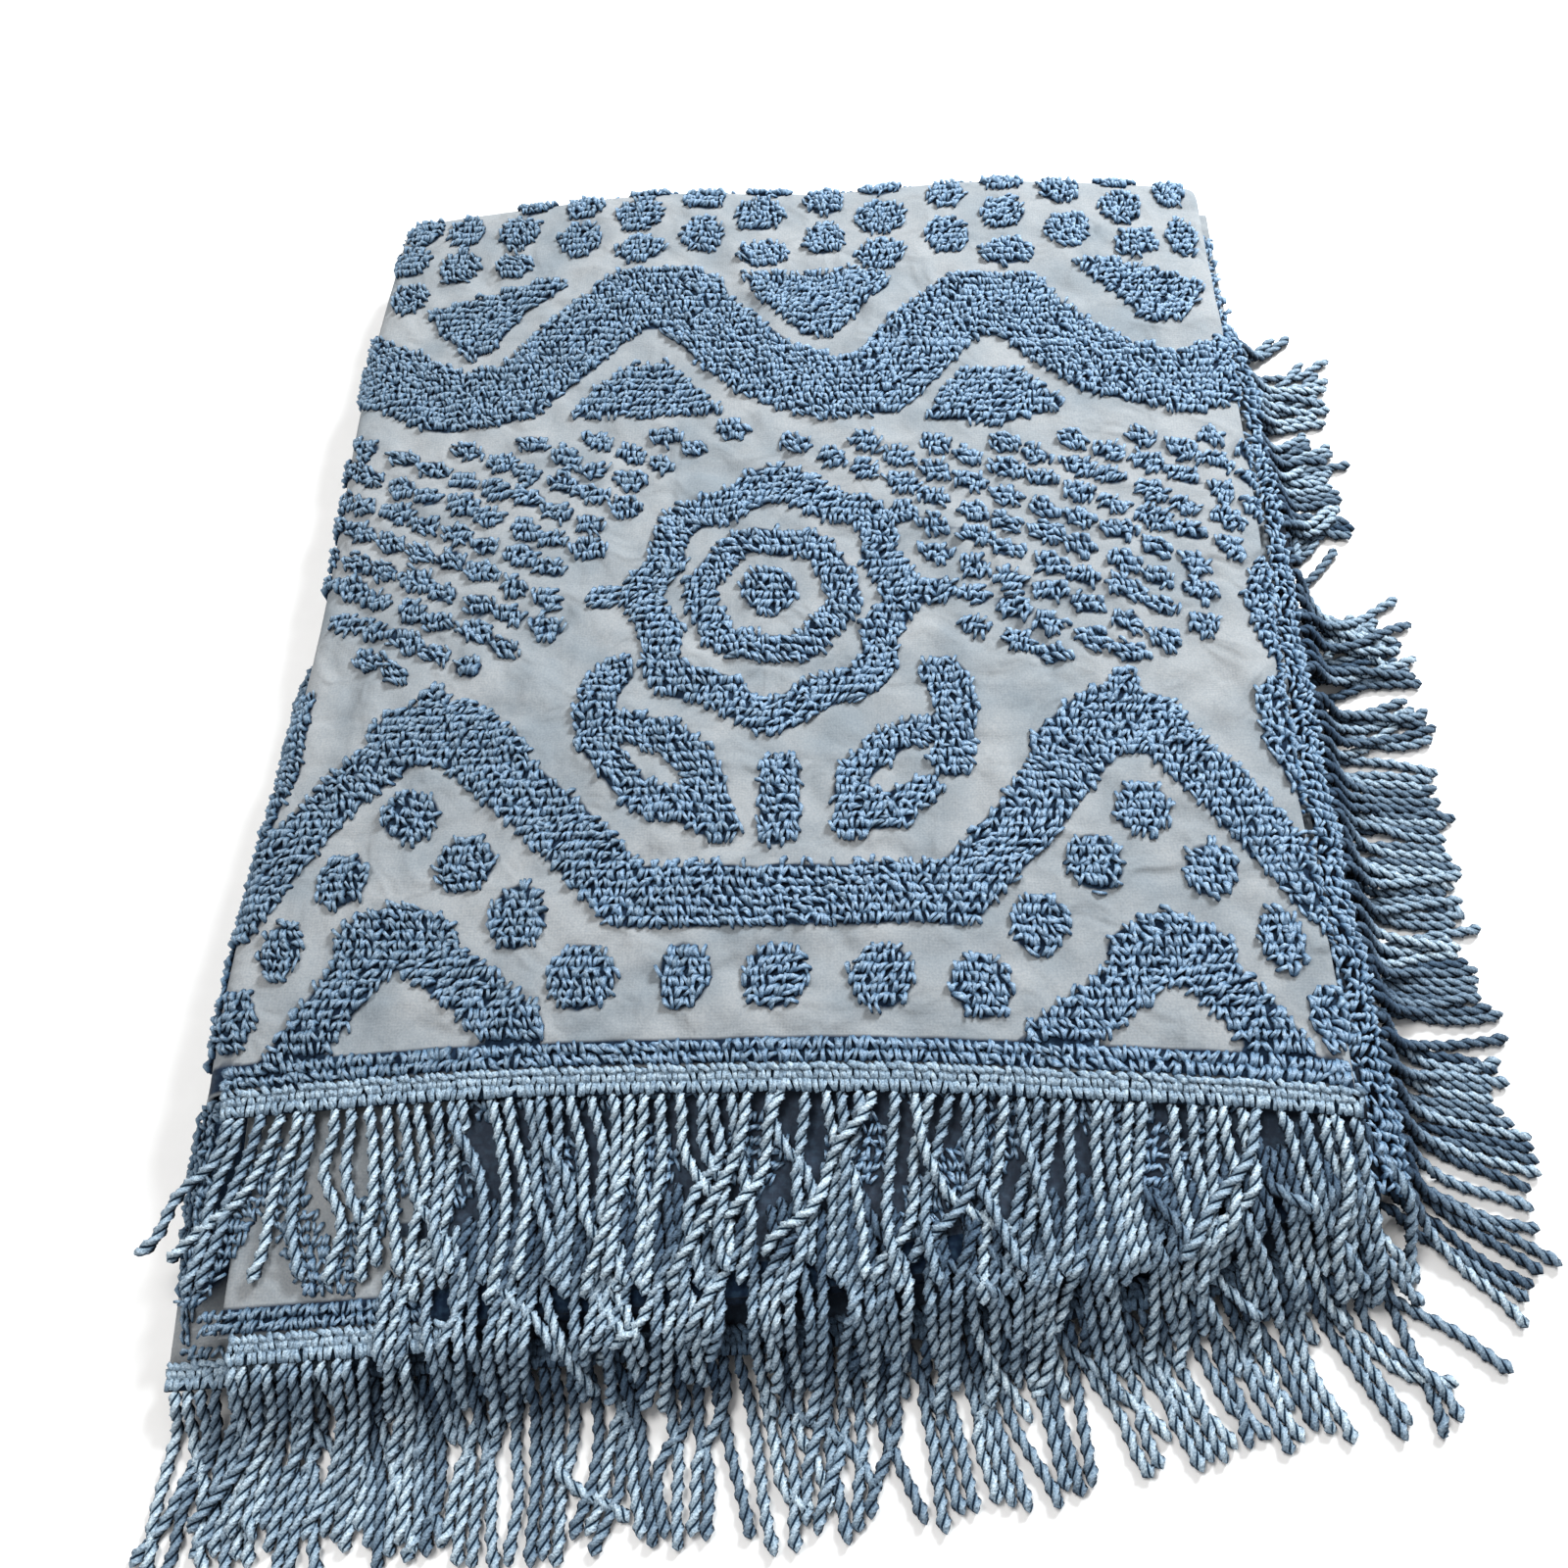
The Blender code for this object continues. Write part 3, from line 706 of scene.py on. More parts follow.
def tuftPlaces(xRange, yRange, field, margin=tufts["margin"]):
    rows = np.arange(*yRange, tufts["rowPitch"])
    x, y = np.meshgrid(np.arange(*xRange, tufts["loopPitch"]), rows)
    x = x + jitter(tufts["jitter"][0], x.shape) + tufts["stagger"] * (np.arange(len(rows))[:, None] % 2)
    y = y + jitter(tufts["jitter"][1], y.shape) + 0.5 * np.sin(x / 23 + rows[:, None])
    x, y = x.ravel(), y.ravel()
    keep = field(x, y) > margin
    return x[keep], y[keep]


def placeTufts(name, x, y, surface=surfaceAt, sizeShare=1.0):
    points, acrossWay, alongWay = surface(x, y)
    height = tufts["sizes"][2]
    up = normalize(np.cross(acrossWay, alongWay))
    base = points + up * (cloth["thickness"] / 2 - tufts["sink"])
    above = base[:, 2] + up[:, 2] * height > tufts["lowest"]  # none stand into the surface below
    x, y, base, acrossWay, alongWay = (values[above] for values in (x, y, base, acrossWay, alongWay))
    count = len(base)
    drift = 0.42 * np.sin(x / 31 + 1.7 * np.sin(y / 27)) + 0.3 * np.sin(y / 13 + 0.6 * np.sin(x / 19))
    slants = drift + rng.normal(0, tufts["slant"], count)
    leans = rng.normal(0, tufts["lean"], count)
    sizes = [size * rng.uniform(*share, count) for size, share in zip(tufts["sizes"], tufts["uneven"])]
    made, faces, rise = loopsAt(base, acrossWay, alongWay, np.stack(sizes, axis=-1) * sizeShare, slants, leans,
                                rng.choice((-1.0, 1.0), count))
    fromMiddle, (darker, lighter) = base[:, 0], tufts["sideLight"]
    # painted light, as from the right: loops to the left darker, to the right lighter
    tone = rng.uniform(*tufts["tones"], count) + np.where(fromMiddle < 0, darker, lighter) * fromMiddle / 0.27
    piece = finishMesh(name, made, faces, tuftCotton)
    pointValues(piece, rise=rise, lit=np.ones(len(rise)), tone=np.repeat(tone, len(loopPoints)))
    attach(piece, "root")
    print(name, count, "loops")


def panelField(x, y):
    field = together((tuftField(x, y), dotsField(x, y, rollDots)))
    hem = np.interp(x, patternX[firstTop:lastTop], patternY[firstTop:lastTop, 0])
    return np.where(y - hem > tufts["hemRows"][-1] + 4.5, field, -1)


def hemPlaces(layer, xRange):
    # loops in rows that follow a hem, on the maker's layout in millimetres
    x = np.arange(*xRange, tufts["loopPitch"] * tufts["hemPitchShare"])
    acrossIt, along = tufts["hemJitter"]
    return np.hstack([(x + jitter(acrossIt, x.shape), 1000 * hemY(layer, x / 1000) + up + jitter(along, x.shape))
                      for up in tufts["hemRows"]])


def sideField(x, y):
    side = slice(section[0][4], firstTop + 1)
    end = np.interp(x, patternX[side], patternY[side, -1])
    return np.where(y < end - 2, bandsField(x, y, sideBands), -1)


pileLeft, pileRight = patternX[section[0][4]] + 2, patternX[lastTop + section[3][4]] - 3
farRound = patternY[lastTop - 60, cloth["frontSteps"] + cloth["turnSteps"]]  # where the pile meets the surface
hemX, hemUp = hemPlaces(7, (-279, 271))
panelX, panelY = tuftPlaces((pileLeft, pileRight), (10, 205), panelField)
fromLeft = np.interp(hemX / 1000, grid[firstTop:lastTop + 1, 0, 0], patternX[firstTop:lastTop + 1])
placeTufts("tufts_border", np.append(panelX, fromLeft), np.append(panelY, hemUp / patternShare))
for name, yRange in (("tufts_flower", (205.5, 366)), ("tufts_ovals_and_mounds", (366.5, 508)),
                     ("tufts_zigzag_and_dots", (508.5, farRound - 6))):
    placeTufts(name, *tuftPlaces((pileLeft, pileRight), yRange, panelField))
placeTufts("tufts_left_side", *tuftPlaces((pileLeft, 0), (790, 1500), sideField))


def tierSurface(layer):
    def surface(x, y):
        px, py = x / 1000, y / 1000
        here, right, ahead = (np.stack([px + dx, py + dy, layerZ(layer, px + dx, py + dy)], axis=-1)
                              for dx, dy in ((0, 0), (1e-4, 0), (0, 1e-4)))
        return here, normalize(right - here), normalize(ahead - here)
    return surface


# the bands that the second tier shows at its left end: half width, then x and up from its hem
tierBands = ((10.5, ((-282, 8), (-243, 78), (-206, 14), (-178, 70), (-150, 20))), (8, ((-280, 10), (-272, 120))))
tierPattern = {"from": -176, "shift": 340}  # past this x it shows the panel's own pattern


def tierField(x, y):
    # what the second tier shows of its pattern, past the panel's hem
    up = y - 1000 * hemY(6, x / 1000)
    shown = y < 1000 * hemY(7, x / 1000) - 1
    further = tuftField(x + tierPattern["shift"], up)
    field = np.where(x > tierPattern["from"], further, bandsField(x, up, tierBands))
    return np.where(shown & (up > tufts["hemRows"][-1] + 4), field, -1)


middleX, middleY = tuftPlaces((-277, 258), (-112, 14), tierField)
hemX, hemUp = hemPlaces(6, (-264, -158))
placeTufts("tufts_second_tier", np.append(middleX, hemX), np.append(middleY, hemUp), tierSurface(6),
           tufts["lowerSizeShare"])
hemX, hemUp = hemPlaces(3, (-276, 262))
shown = (hemUp < 1000 * hemY(6, hemX / 1000) - 2) & (hemX < -215)
placeTufts("tufts_low_hem", hemX[shown], hemUp[shown], tierSurface(3), tufts["lowerSizeShare"])

# the band of tufts along the right side, from the panel's side to over the root of the cords
sideEdge = {
    "from": 0.27,
    "to": 0.2872,
    "along": (-0.034, 0.598),
    "layer": 5,
    "above": 0.0016,
    "drop": 0.007,  # rounds over at the outer side
    "farSwell": (0.003, 0.51, 0.02),  # height, past which y, over how far
}


def sideEdgeSurface(x, y):
    def height(px, py):
        over = np.clip((px - sideEdge["from"]) / (sideEdge["to"] - sideEdge["from"]), 0.0, 1.0)
        swell, swellY, run = sideEdge["farSwell"]
        level = layerZ(sideEdge["layer"], px, py) + sideEdge["above"]
        return level + swell * np.sin(math.pi * over) * ease(-(py - swellY) / run) - sideEdge["drop"] * over ** 2
    px, py = x / 1000, y / 1000
    shift = sideWave(px, py)
    here = np.stack([px + shift, py, height(px, py)], axis=-1)
    right = np.stack([px + shift + 1e-3, py, height(px + 1e-3, py)], axis=-1)
    ahead = np.stack([px + sideWave(px, py + 1e-3), py + 1e-3, height(px, py + 1e-3)], axis=-1)
    return here, normalize(right - here), normalize(ahead - here)


def sideEdgeField(x, y):
    # a band along the side, wider in some places and narrowing to its far end
    outer = 1000 * sideEdge["to"] - 2.5 * np.sin(y / 24) ** 2 - 6 * np.clip((y - 200) / 200, 0, 1)
    inner = 1000 * sideEdge["from"] + 2.0 + 1.8 * np.sin(y / 17) - 4.5 * np.clip((70 - y) / 40, 0, 1)
    beyond = np.clip((y - 490) / 30, 0, 1)  # past the fringe it lies on the layer below the panel's edge
    outer, inner = outer - 6.5 * beyond, inner - 7 * beyond
    return np.where(y < 1000 * sideEdge["along"][1], np.minimum(outer - x, x - inner), -1)


edgePlaces = tuftPlaces((263, 293), [1000 * end for end in sideEdge["along"]], sideEdgeField, margin=0.0)
placeTufts("tufts_side_edge", *edgePlaces, sideEdgeSurface)

fringe = {
    "seamGap": 0.0003,
    "headingWidth": 0.012,
    "headingThickness": 0.0028,
    "headingSteps": 80,
    "sideHeadingDrop": 0.004,
    "cordLength": 0.085,
    "rootInHeading": 0.0005,
    "rootStagger": 0.001,  # every second cord starts lower
    "knots": 15,
    "rings": 52,
    "above": 0.0026,  # of a cord's middle, and more where it lies on cloth that is as thick as this
    "aboveCloth": (0.0012, 0.004),
    "levelPast": 0.006,  # a cord comes down only this far past an edge
}

# Each run: the layer and edge it is sewn along, where its cords start and end, their number, tier and radius.
# turn: length of one full turn of the twist. tones: from the deepest to the lightest cord, at random, with the lower
# and side runs set darker as painted shade.
# outOfShadow: shares of a cord's length between which its yarn goes from painted shadow to its own tone.
# shown: how far along the run its heading can be seen. leans: share along the run, lean in degrees, more to
# the tip, share of the length that reaches out. partings: where the cords part into clumps, if not by chance.
runs = {
    "foot_fringe_top": {
        "layer": 7, "along": "hem", "ends": (-0.267, 0.27), "cords": 64, "tier": 2, "radius": 0.0032, "turn": 0.0165,
        "tones": (0.45, 1.0), "outOfShadow": (-0.1, 0.05), "shown": 1.0,
        "leans": ((0, -28, -6, 1), (0.03, -12, 0, 1), (0.06, -2, 0, 1), (0.11, 9, 6, 1.02), (0.24, 11, -2, 1.08),
                  (0.56, -5, -3, 1.1), (0.7, -8, 2, 1.06), (0.82, -5, 6, 1), (0.92, 2, 8, 1), (1, 12, 8, 1)),
    },
    "foot_fringe_middle": {
        "layer": 6, "along": "hem", "ends": (-0.251, 0.266), "cords": 84, "tier": 1, "radius": 0.0031, "turn": 0.0165,
        "tones": (0.45, 1.0), "outOfShadow": (0.2, 0.58), "shown": 0.2,
        "leans": ((0, -5, -4, 1), (0.2, -2, 4, 1), (0.55, 4, -6, 1), (0.8, 9, 6, 0.98), (0.92, 14, 8, 0.98),
                  (1, 26, 10, 1)),
        "pullShare": 0.6,
        "turnedFrom": 0.12,  # past this its heading is turned under and the cords start up on the cloth
        "turnedUp": (-0.042, 0.026, -0.014),  # how far up, less of it to the right, and by chance
        "hiddenWidth": 0.003,  # of the heading there
    },
    "foot_fringe_low": {
        "layer": 3, "along": "hem", "ends": (-0.276, 0.276), "cords": 80, "tier": 0, "radius": 0.0031, "turn": 0.0165,
        "tones": (0.25, 1.0), "outOfShadow": (0.05, 0.6), "shown": 0.14,
        "leans": ((0, -6, 2, 1), (0.06, 2, 4, 1), (0.25, 4, -4, 1), (0.6, 6, 6, 0.98), (0.85, 20, 8, 0.88),
                  (1, 42, 6, 0.98)),
        "pullShare": 0.6,
        "ribbedTo": 1,  # its ribs go on under the tier above
    },
    "side_fringe_top": {
        "layer": 5, "along": "side", "ends": (-0.034, 0.505), "cords": 68, "tier": 1, "radius": 0.003, "turn": 0.0155,
        "tones": (0.1, 0.86), "outOfShadow": (0.1, 0.62), "shown": 0.0,
        "leans": ((0, -38, -8, 1.05), (0.07, -18, 0, 1.05), (0.14, -8, 4, 1), (0.22, 0, 2, 0.94), (0.32, -3, 2, 1),
                  (0.42, -3, 4, 1.04), (0.48, 5, 16, 1.02), (0.56, 2, 4, 1.05), (0.655, 4, 2, 0.94),
                  (0.675, 38, 8, 0.74), (0.76, 36, 8, 0.7), (0.79, 22, 6, 0.68), (0.87, 20, 4, 0.72),
                  (0.9, 12, 4, 0.94), (1, 34, 6, 0.96)),
        "partings": (0, 0.045, 0.1, 0.15, 0.2, 0.27, 0.335, 0.42, 0.47, 0.51, 0.665, 0.775, 0.885, 0.95, 1),
        "tucked": (0.003, 0.013),  # the cords start this much closer to the cloth, and more at the far end
        "farWidth": 0.002,  # of the heading there
    },
    "side_fringe_low": {
        "layer": 3, "along": "side", "ends": (-0.04, 0.5), "cords": 50, "tier": 0, "radius": 0.0029, "turn": 0.0155,
        "tones": (0.0, 0.62), "outOfShadow": (0.15, 0.75), "shown": 0.0,
        "leans": ((0, -42, -8, 1), (0.1, -18, 0, 1), (0.2, -6, 4, 1), (0.46, -2, 2, 1), (0.655, 4, 2, 0.92),
                  (0.68, 34, 8, 0.74), (0.8, 24, 8, 0.8), (1, 30, 6, 0.95)),
        "partings": (0, 0.06, 0.12, 0.23, 0.34, 0.44, 0.52, 0.665, 0.775, 0.885, 1),
    },
}

# from the lowest tier up: its layer, how far above the tier below its cords lie, how far out they come down
tierLayers = (3, 6, 7)
tierRises = (0.0, 0.0101, 0.0114)
fallReaches = (0.028, 0.055, 0.06)


def edgePoint(run, place, out):
    # a point of the heading, so far out from the seam
    layer = run["layer"]
    if run["along"] == "hem":
        x, y, outside = place, hemY(layer, place), (0, -1, 0)
        z = layerZ(layer, x, y - out)
    else:
        x, y, outside = layers[layer][2], place, (1, 0, 0)
        z = layerZ(layer, x, y) - fringe["sideHeadingDrop"] * ease(out / fringe["headingWidth"])
    shift = lowerShift(x, y) if layer < 3.5 else sideWave(x, y)
    return np.array([x + shift, y, z]) + np.array(outside) * out


def clothTop(layer, x, y, above, hemReach=0.0, sideReach=0.0):
    # how far a place is outside a layer of cloth, and how high its nearest edge is
    hem, rightX = hemY(layer, x), layers[layer][2]
    outside = np.maximum(np.maximum(hem - hemReach - y, x - rightX - sideReach), 0.0)
    return outside, layerZ(layer, np.minimum(x, rightX), np.maximum(y, hem)) + above


def cordHeight(layer, tier, x, y):
    # how high a cord of that layer lies on the cloth and the cords below
    support = -math.inf
    for under in range(layer):
        outside, top = clothTop(under, x, y, cloth["solidThickness"] / 2)
        support = np.maximum(support, top * (1 - ease((outside - fringe["levelPast"]) / fallReaches[tier])))
    more, thick = fringe["aboveCloth"]
    lowest = fringe["above"] + support + more * np.minimum(1.0, support / thick)
    if tier:
        lowest = np.maximum(lowest, cordHeight(tierLayers[tier - 1], tier - 1, x, y) + tierRises[tier])
    return lowest


def leanAt(run, share):
    # lean, more to the tip, and reach, in soft steps along the run
    table = np.array(run["leans"])
    after = min(int(np.searchsorted(table[:, 0], share)), len(table) - 1)
    before = max(after - 1, 0)
    part = ease((share - table[before, 0]) / max(table[after, 0] - table[before, 0], 1e-6))
    return mix(table[before, 1:], table[after, 1:], part)


clumping = {
    "sizes": (2, 8),  # cords in a clump, where it forms by chance
    "pull": (0.15, 0.9),
}


def clumpsOf(run):
    # cords hang together in clumps: for each cord its clump's middle and how far it bends over to it
    cords = run["cords"]
    if "partings" in run:
        edges = run["partings"]
    else:
        sizes = rng.integers(*clumping["sizes"], cords)
        edges = np.append(np.cumsum(sizes) - sizes[0], cords)
        edges = edges[edges <= cords] / cords
    pulls = rng.uniform(*clumping["pull"], len(edges)) * run.get("pullShare", 1.0)
    clumps = []
    for number in range(cords):
        clump = max(0, min(int(np.searchsorted(edges, (number + 0.5) / cords)) - 1, len(edges) - 2))
        clumps.append(((edges[clump] + edges[clump + 1]) / 2, pulls[clump]))
    return clumps


lay = {
    "jitter": 0.3,  # of a cord's pitch, to either side
    "lengths": (0.91, 1.05),
    "leastReach": 0.8,
    "lean": 6,  # spreads, in degrees
    "bend": 13,
    "wander": 15,
    "strays": (0.18, 18, 28),  # share of the cords, spreads of their lean and bend
    "straysLimit": (28, 38),
    "lift": 0.012,
    "settling": 0.03,  # from its root, over how much of its length a cord comes down
    "turnedLonger": 1.12,
    "turnedLift": 0.0022,
}


def layCord(run, number, middle, pull):
    # where a cord lies before it settles, the length of its steps, and how many layers are under it
    layer, (start, end) = run["layer"], run["ends"]
    share = (number + 0.5 + jitter(lay["jitter"])) / run["cords"]
    turnedUnder = "turnedFrom" in run and share > run["turnedFrom"] + 0.05 * rng.random()
    out = fringe["seamGap"] + fringe["headingWidth"] - fringe["rootInHeading"]
    if "tucked" in run:
        least, more = run["tucked"]
        out -= least + more * ease((share - 0.7) / 0.2)
    if turnedUnder:
        up, less, chance = run["turnedUp"]
        out = up * ease((share - 0.1) / 0.12) + less * ease((share - 0.4) / 0.3) + chance * rng.random()
    root = edgePoint(run, mix(start, end, share), out)
    root[2] += lay["turnedLift"] if turnedUnder else -fringe["rootStagger"] * (number % 2)
    lean, bend, reach = leanAt(run, share)
    length = fringe["cordLength"] * max(reach, lay["leastReach"]) * rng.uniform(*lay["lengths"])
    if turnedUnder:
        length *= lay["turnedLonger"]
    over = math.degrees(math.asin(np.clip((middle - share) * (end - start) * pull / length, -0.6, 0.6)))
    lean += 0.8 * over + rng.normal(0, lay["lean"])
    bend += 0.5 * over + rng.normal(0, lay["bend"])
    strays, strayLean, strayBend = lay["strays"]
    if rng.random() < strays and 0.05 < share < 0.95:
        limitLean, limitBend = lay["straysLimit"]
        lean = lean + np.clip(rng.normal(0, strayLean), -limitLean, limitLean)
        bend = bend + np.clip(rng.normal(0, strayBend), -limitBend, limitBend)
    wander, swings, phase = rng.normal(0, lay["wander"]), rng.uniform(0.8, 1.7), jitter(0.6)
    lift = rng.uniform(0.0, lay["lift"])
    outward = -90 if run["along"] == "hem" else 0
    curl = (1 - min(reach, 1)) * 100 * rng.choice((-1, 1))
    step = length / (fringe["knots"] - 1)
    points, travelled, point = [root], 0.0, root
    for knot in range(1, fringe["knots"]):
        part = knot / (fringe["knots"] - 1)
        wave = wander * (math.sin(2 * math.pi * swings * part + phase) - math.sin(phase)) * min(1.0, 3 * part)
        heading = math.radians(outward + lean + (bend + curl) * part ** 1.5 + wave)
        flat = step
        for _ in range(3):  # the step shortens on the surface as it goes up or down
            x, y = point[0] + flat * math.cos(heading), point[1] + flat * math.sin(heading)
            lying = float(cordHeight(layer, run["tier"], x, y)) + lift * math.sin(math.pi * part ** 0.7)
            z = mix(root[2], lying, float(ease((travelled + flat) / lay["settling"])))
            flat = math.sqrt(max(step ** 2 - (z - point[2]) ** 2, (step / 2) ** 2))
        travelled += flat
        point = np.array([x, y, z])
        points.append(point)
    return np.array(points), step, layer + 1 if turnedUnder else layer


settle = {
    "rounds": 90,
    "sink": 0.00035,  # a round
    "bendShares": (0.12, 0.05),
    "reach": 0.0085,  # knots nearer than this are looked at
    "lookEvery": 6,
    "touching": 0.94,  # of the two radii
    "push": 0.42,
    "beside": 0.6,  # cords go rather over than beside one another
    "lying": 0.95,  # of the radius
    "lift": 0.7,
    "ledgeAbove": 0.0022,
    "ledgeReach": 0.014,
}

headingReach = {7: (0.0125, 0.0), 6: (0.0125, 0.0), 5: (0.0, 0.0125), 3: (0.0125, 0.0125)}  # hem, side


def ledgeBelow(layer, x, y):
    # the highest thing right under a cord of that layer: lower cloth, its headings, or the surface
    ledge = np.zeros(x.shape)
    for under in range(layer):
        outside, top = clothTop(under, x, y, settle["ledgeAbove"], *headingReach.get(under, ()))
        ledge = np.maximum(ledge, top * (1 - ease(outside / settle["ledgeReach"])))
    return ledge


def nearPairs(points, owner, reach):
    # pairs of knots on different cords that are close, by cells of the surface
    order = {}
    for number, key in enumerate(map(tuple, np.floor(points[:, :2] / reach).astype(int))):
        order.setdefault(key, []).append(number)
    pairs = []
    for (cx, cy), members in order.items():
        for dx, dy in ((0, 0), (1, 0), (0, 1), (1, 1), (1, -1)):
            others = order.get((cx + dx, cy + dy), ())
            pairs += [(a, b) for a in members for b in others
                      if (dx or dy or b > a) and owner[a] != owner[b] and abs(points[a, 2] - points[b, 2]) < reach]
    return np.array(pairs).T


def settleCords(cords, steps, runLayers, radii):
    # cords sink under their weight, keep their length and bend, and push each other apart
    points, radii, runLayers = np.array(cords), np.array(radii), np.array(runLayers)
    count, knots = points.shape[:2]
    rest = np.array(steps)[:, None, None]
    bend0 = points[:, :-2] - 2 * points[:, 1:-1] + points[:, 2:]
    owner, thick = np.repeat(np.arange(count), knots), np.repeat(radii, knots)
    free = np.ones((count, knots, 1))
    free[:, :2] = 0.0
    flat = points.reshape(-1, 3)  # the same knots in one row
    middleShare, endShare = settle["bendShares"]
    for turn in range(settle["rounds"]):
        points[..., 2:] -= settle["sink"] * free
        for _ in range(2):
            bend = points[:, :-2] - 2 * points[:, 1:-1] + points[:, 2:] - bend0
            points[:, 1:-1] += middleShare * bend * free[:, 1:-1]
            points[:, :-2] -= endShare * bend * free[:, :-2]
            points[:, 2:] -= endShare * bend * free[:, 2:]
        if turn % settle["lookEvery"] == 0:
            first, second = nearPairs(flat, owner, settle["reach"])
        apart = flat[second] - flat[first]
        distance = np.linalg.norm(apart, axis=1)
        touching = (thick[first] + thick[second]) * settle["touching"]
        close = distance < touching
        amount = (touching - distance)[close] * settle["push"]
        push = apart[close] / np.maximum(distance[close], 1e-6)[:, None] * amount[:, None]
        push[:, :2] *= settle["beside"]
        pushed = np.append(first[close], second[close])
        moves = np.zeros_like(flat)
        np.add.at(moves, pushed, np.vstack([-push, push]))
        times = np.bincount(pushed, minlength=len(flat))[:, None]
        flat += moves / np.maximum(times, 1.0) ** 0.5 * free.reshape(-1, 1)
        for start in (0, 1, 0, 1, 0, 1):
            a, b = points[:, start:-1:2], points[:, start + 1::2]
            freeA, freeB = free[:, start:-1:2], free[:, start + 1::2]
            gap = b - a
            fix = gap * (1 - rest / np.maximum(np.linalg.norm(gap, axis=2, keepdims=True), 1e-9))
            total = np.maximum(freeA + freeB, 1e-9)
            a += fix * freeA / total
            b -= fix * freeB / total
        for layer in set(runLayers):
            chosen = runLayers == layer
            x, y, z = np.moveaxis(points[chosen], -1, 0)
            ledge = ledgeBelow(layer, x, y) + radii[chosen][:, None] * settle["lying"]
            low = (z < ledge) & (free[chosen][..., 0] > 0)
            points[chosen, :, 2] = np.where(low, mix(z, ledge, settle["lift"]), z)
    points[..., 2] = np.maximum(points[..., 2], radii[:, None] * settle["lying"])
    return points


def smoothPath(knots, count):
    # an even path through the knots
    padded = np.vstack([2 * knots[0] - knots[1], knots, 2 * knots[-1] - knots[-2]])
    place = np.linspace(0, len(knots) - 1 - 1e-6, count)
    cell = place.astype(int)
    t = (place - cell)[:, None]
    p0, p1, p2, p3 = (padded[cell + offset] for offset in range(4))
    return 0.5 * (2 * p1 + (p2 - p0) * t + (2 * p0 - 5 * p1 + 4 * p2 - p3) * t ** 2
                  + (3 * p1 - p0 - 3 * p2 + p3) * t ** 3)


# the section of two twisted plies: degrees round, share of the radius, rise of the yarn (painted shade in the grooves
# between the plies, painted highlight on their crowns)
twist = {
    "angles": np.radians((0, 28, 90, 152, 180, 208, 270, 332)),
    "radii": np.array((0.48, 0.78, 1.08, 0.78) * 2),
    "rise": np.array((0.0, 0.6, 1.0, 0.6) * 2),
    "tipSwell": (0.1, 0.005, 0.004),  # how much, how far before the tip, over how far
    "rootPinch": (0.12, 0.004),
    "closing": 0.0028,
    "leastRadius": 0.12,
    "lit": (0.42, 0.6),  # of the sides, and more to the top
}


def twistCord(path, phase, thickness, turn):
    ahead = normalize(np.gradient(path, axis=0))
    side = normalize(np.cross(np.array([0.0, 0.0, 1.0]), ahead) + 1e-9)
    up = np.cross(ahead, side)
    travelled = running(np.linalg.norm(np.diff(path, axis=0), axis=1))
    left = travelled[-1] - travelled
    (more, before, over), (less, after), (litSide, litTop) = twist["tipSwell"], twist["rootPinch"], twist["lit"]
    swell = 1 + more * np.exp(-((left - before) / over) ** 2) - less * np.exp(-(travelled / after) ** 2)
    closing = np.sqrt(np.clip(np.minimum(left, travelled + 0.0006) / twist["closing"], 0.0, 1.0))
    radius = thickness * swell * np.maximum(closing, twist["leastRadius"])
    turned = (phase + 2 * math.pi * travelled / turn)[:, None] + twist["angles"][None]
    reach = radius[:, None] * twist["radii"][None]
    made = path[:, None] + (np.cos(turned) * reach)[..., None] * side[:, None]
    made = made + (np.sin(turned) * reach)[..., None] * up[:, None]
    made[..., 2] = np.maximum(made[..., 2], 0.0001)
    lit = np.clip(litSide + litTop * np.sin(turned) * np.abs(up[:, 2:]), 0.0, 1.0)
    return made, np.tile(twist["rise"], (len(path), 1)), lit


def ringFaces(rings, sides):
    faces = []
    for ring in range(rings - 1):
        for side in range(sides):
            after = (side + 1) % sides
            base, following = ring * sides, (ring + 1) * sides
            faces.append((base + side, base + after, following + after, following + side))
    for ring, flip in ((0, True), (rings - 1, False)):
        base = ring * sides
        for side in range(1, sides - 1):
            corner = (base, base + side, base + side + 1)
            corner = corner[::-1] if flip else corner
            faces.append((*corner, corner[-1]))
    return np.array(faces)


cordFaces = ringFaces(fringe["rings"], len(twist["angles"]))


def headingStrip(run):
    # the woven strip that the cords hang from
    rise = np.array([0, 0, fringe["headingThickness"] / 2 * 0.8])
    rings = []
    for step in range(fringe["headingSteps"] + 1):
        share = step / fringe["headingSteps"]
        place, width = mix(*run["ends"], share), fringe["headingWidth"]
        if "hiddenWidth" in run and share >= run["shown"]:
            width = run["hiddenWidth"]
        if "farWidth" in run:
            width = mix(width, run["farWidth"], ease((share - 0.68) / 0.18))
        back, front = edgePoint(run, place, fringe["seamGap"]), edgePoint(run, place, fringe["seamGap"] + width)
        rings.append((back + rise, front + rise, front - rise, back - rise))
    points = np.array(rings).reshape(-1, 3)
    # the whole strip is painted in shade: it shows only between its ribs and under the cords
    return points, ringFaces(fringe["headingSteps"] + 1, 4), np.full(len(points), 0.1)


# its ribs and its chain of small loops, in rows: out from the seam, width, length, height, slant, pitch
headingRows = (
    (0.0016, 0.0026, 0.0058, 0.0038, 0.9, 0.003),
    (0.005, 0.0025, 0.0064, 0.0028, 0.15, 0.0024),
    (0.0095, 0.0024, 0.0068, 0.0026, 0.1, 0.0024),
)


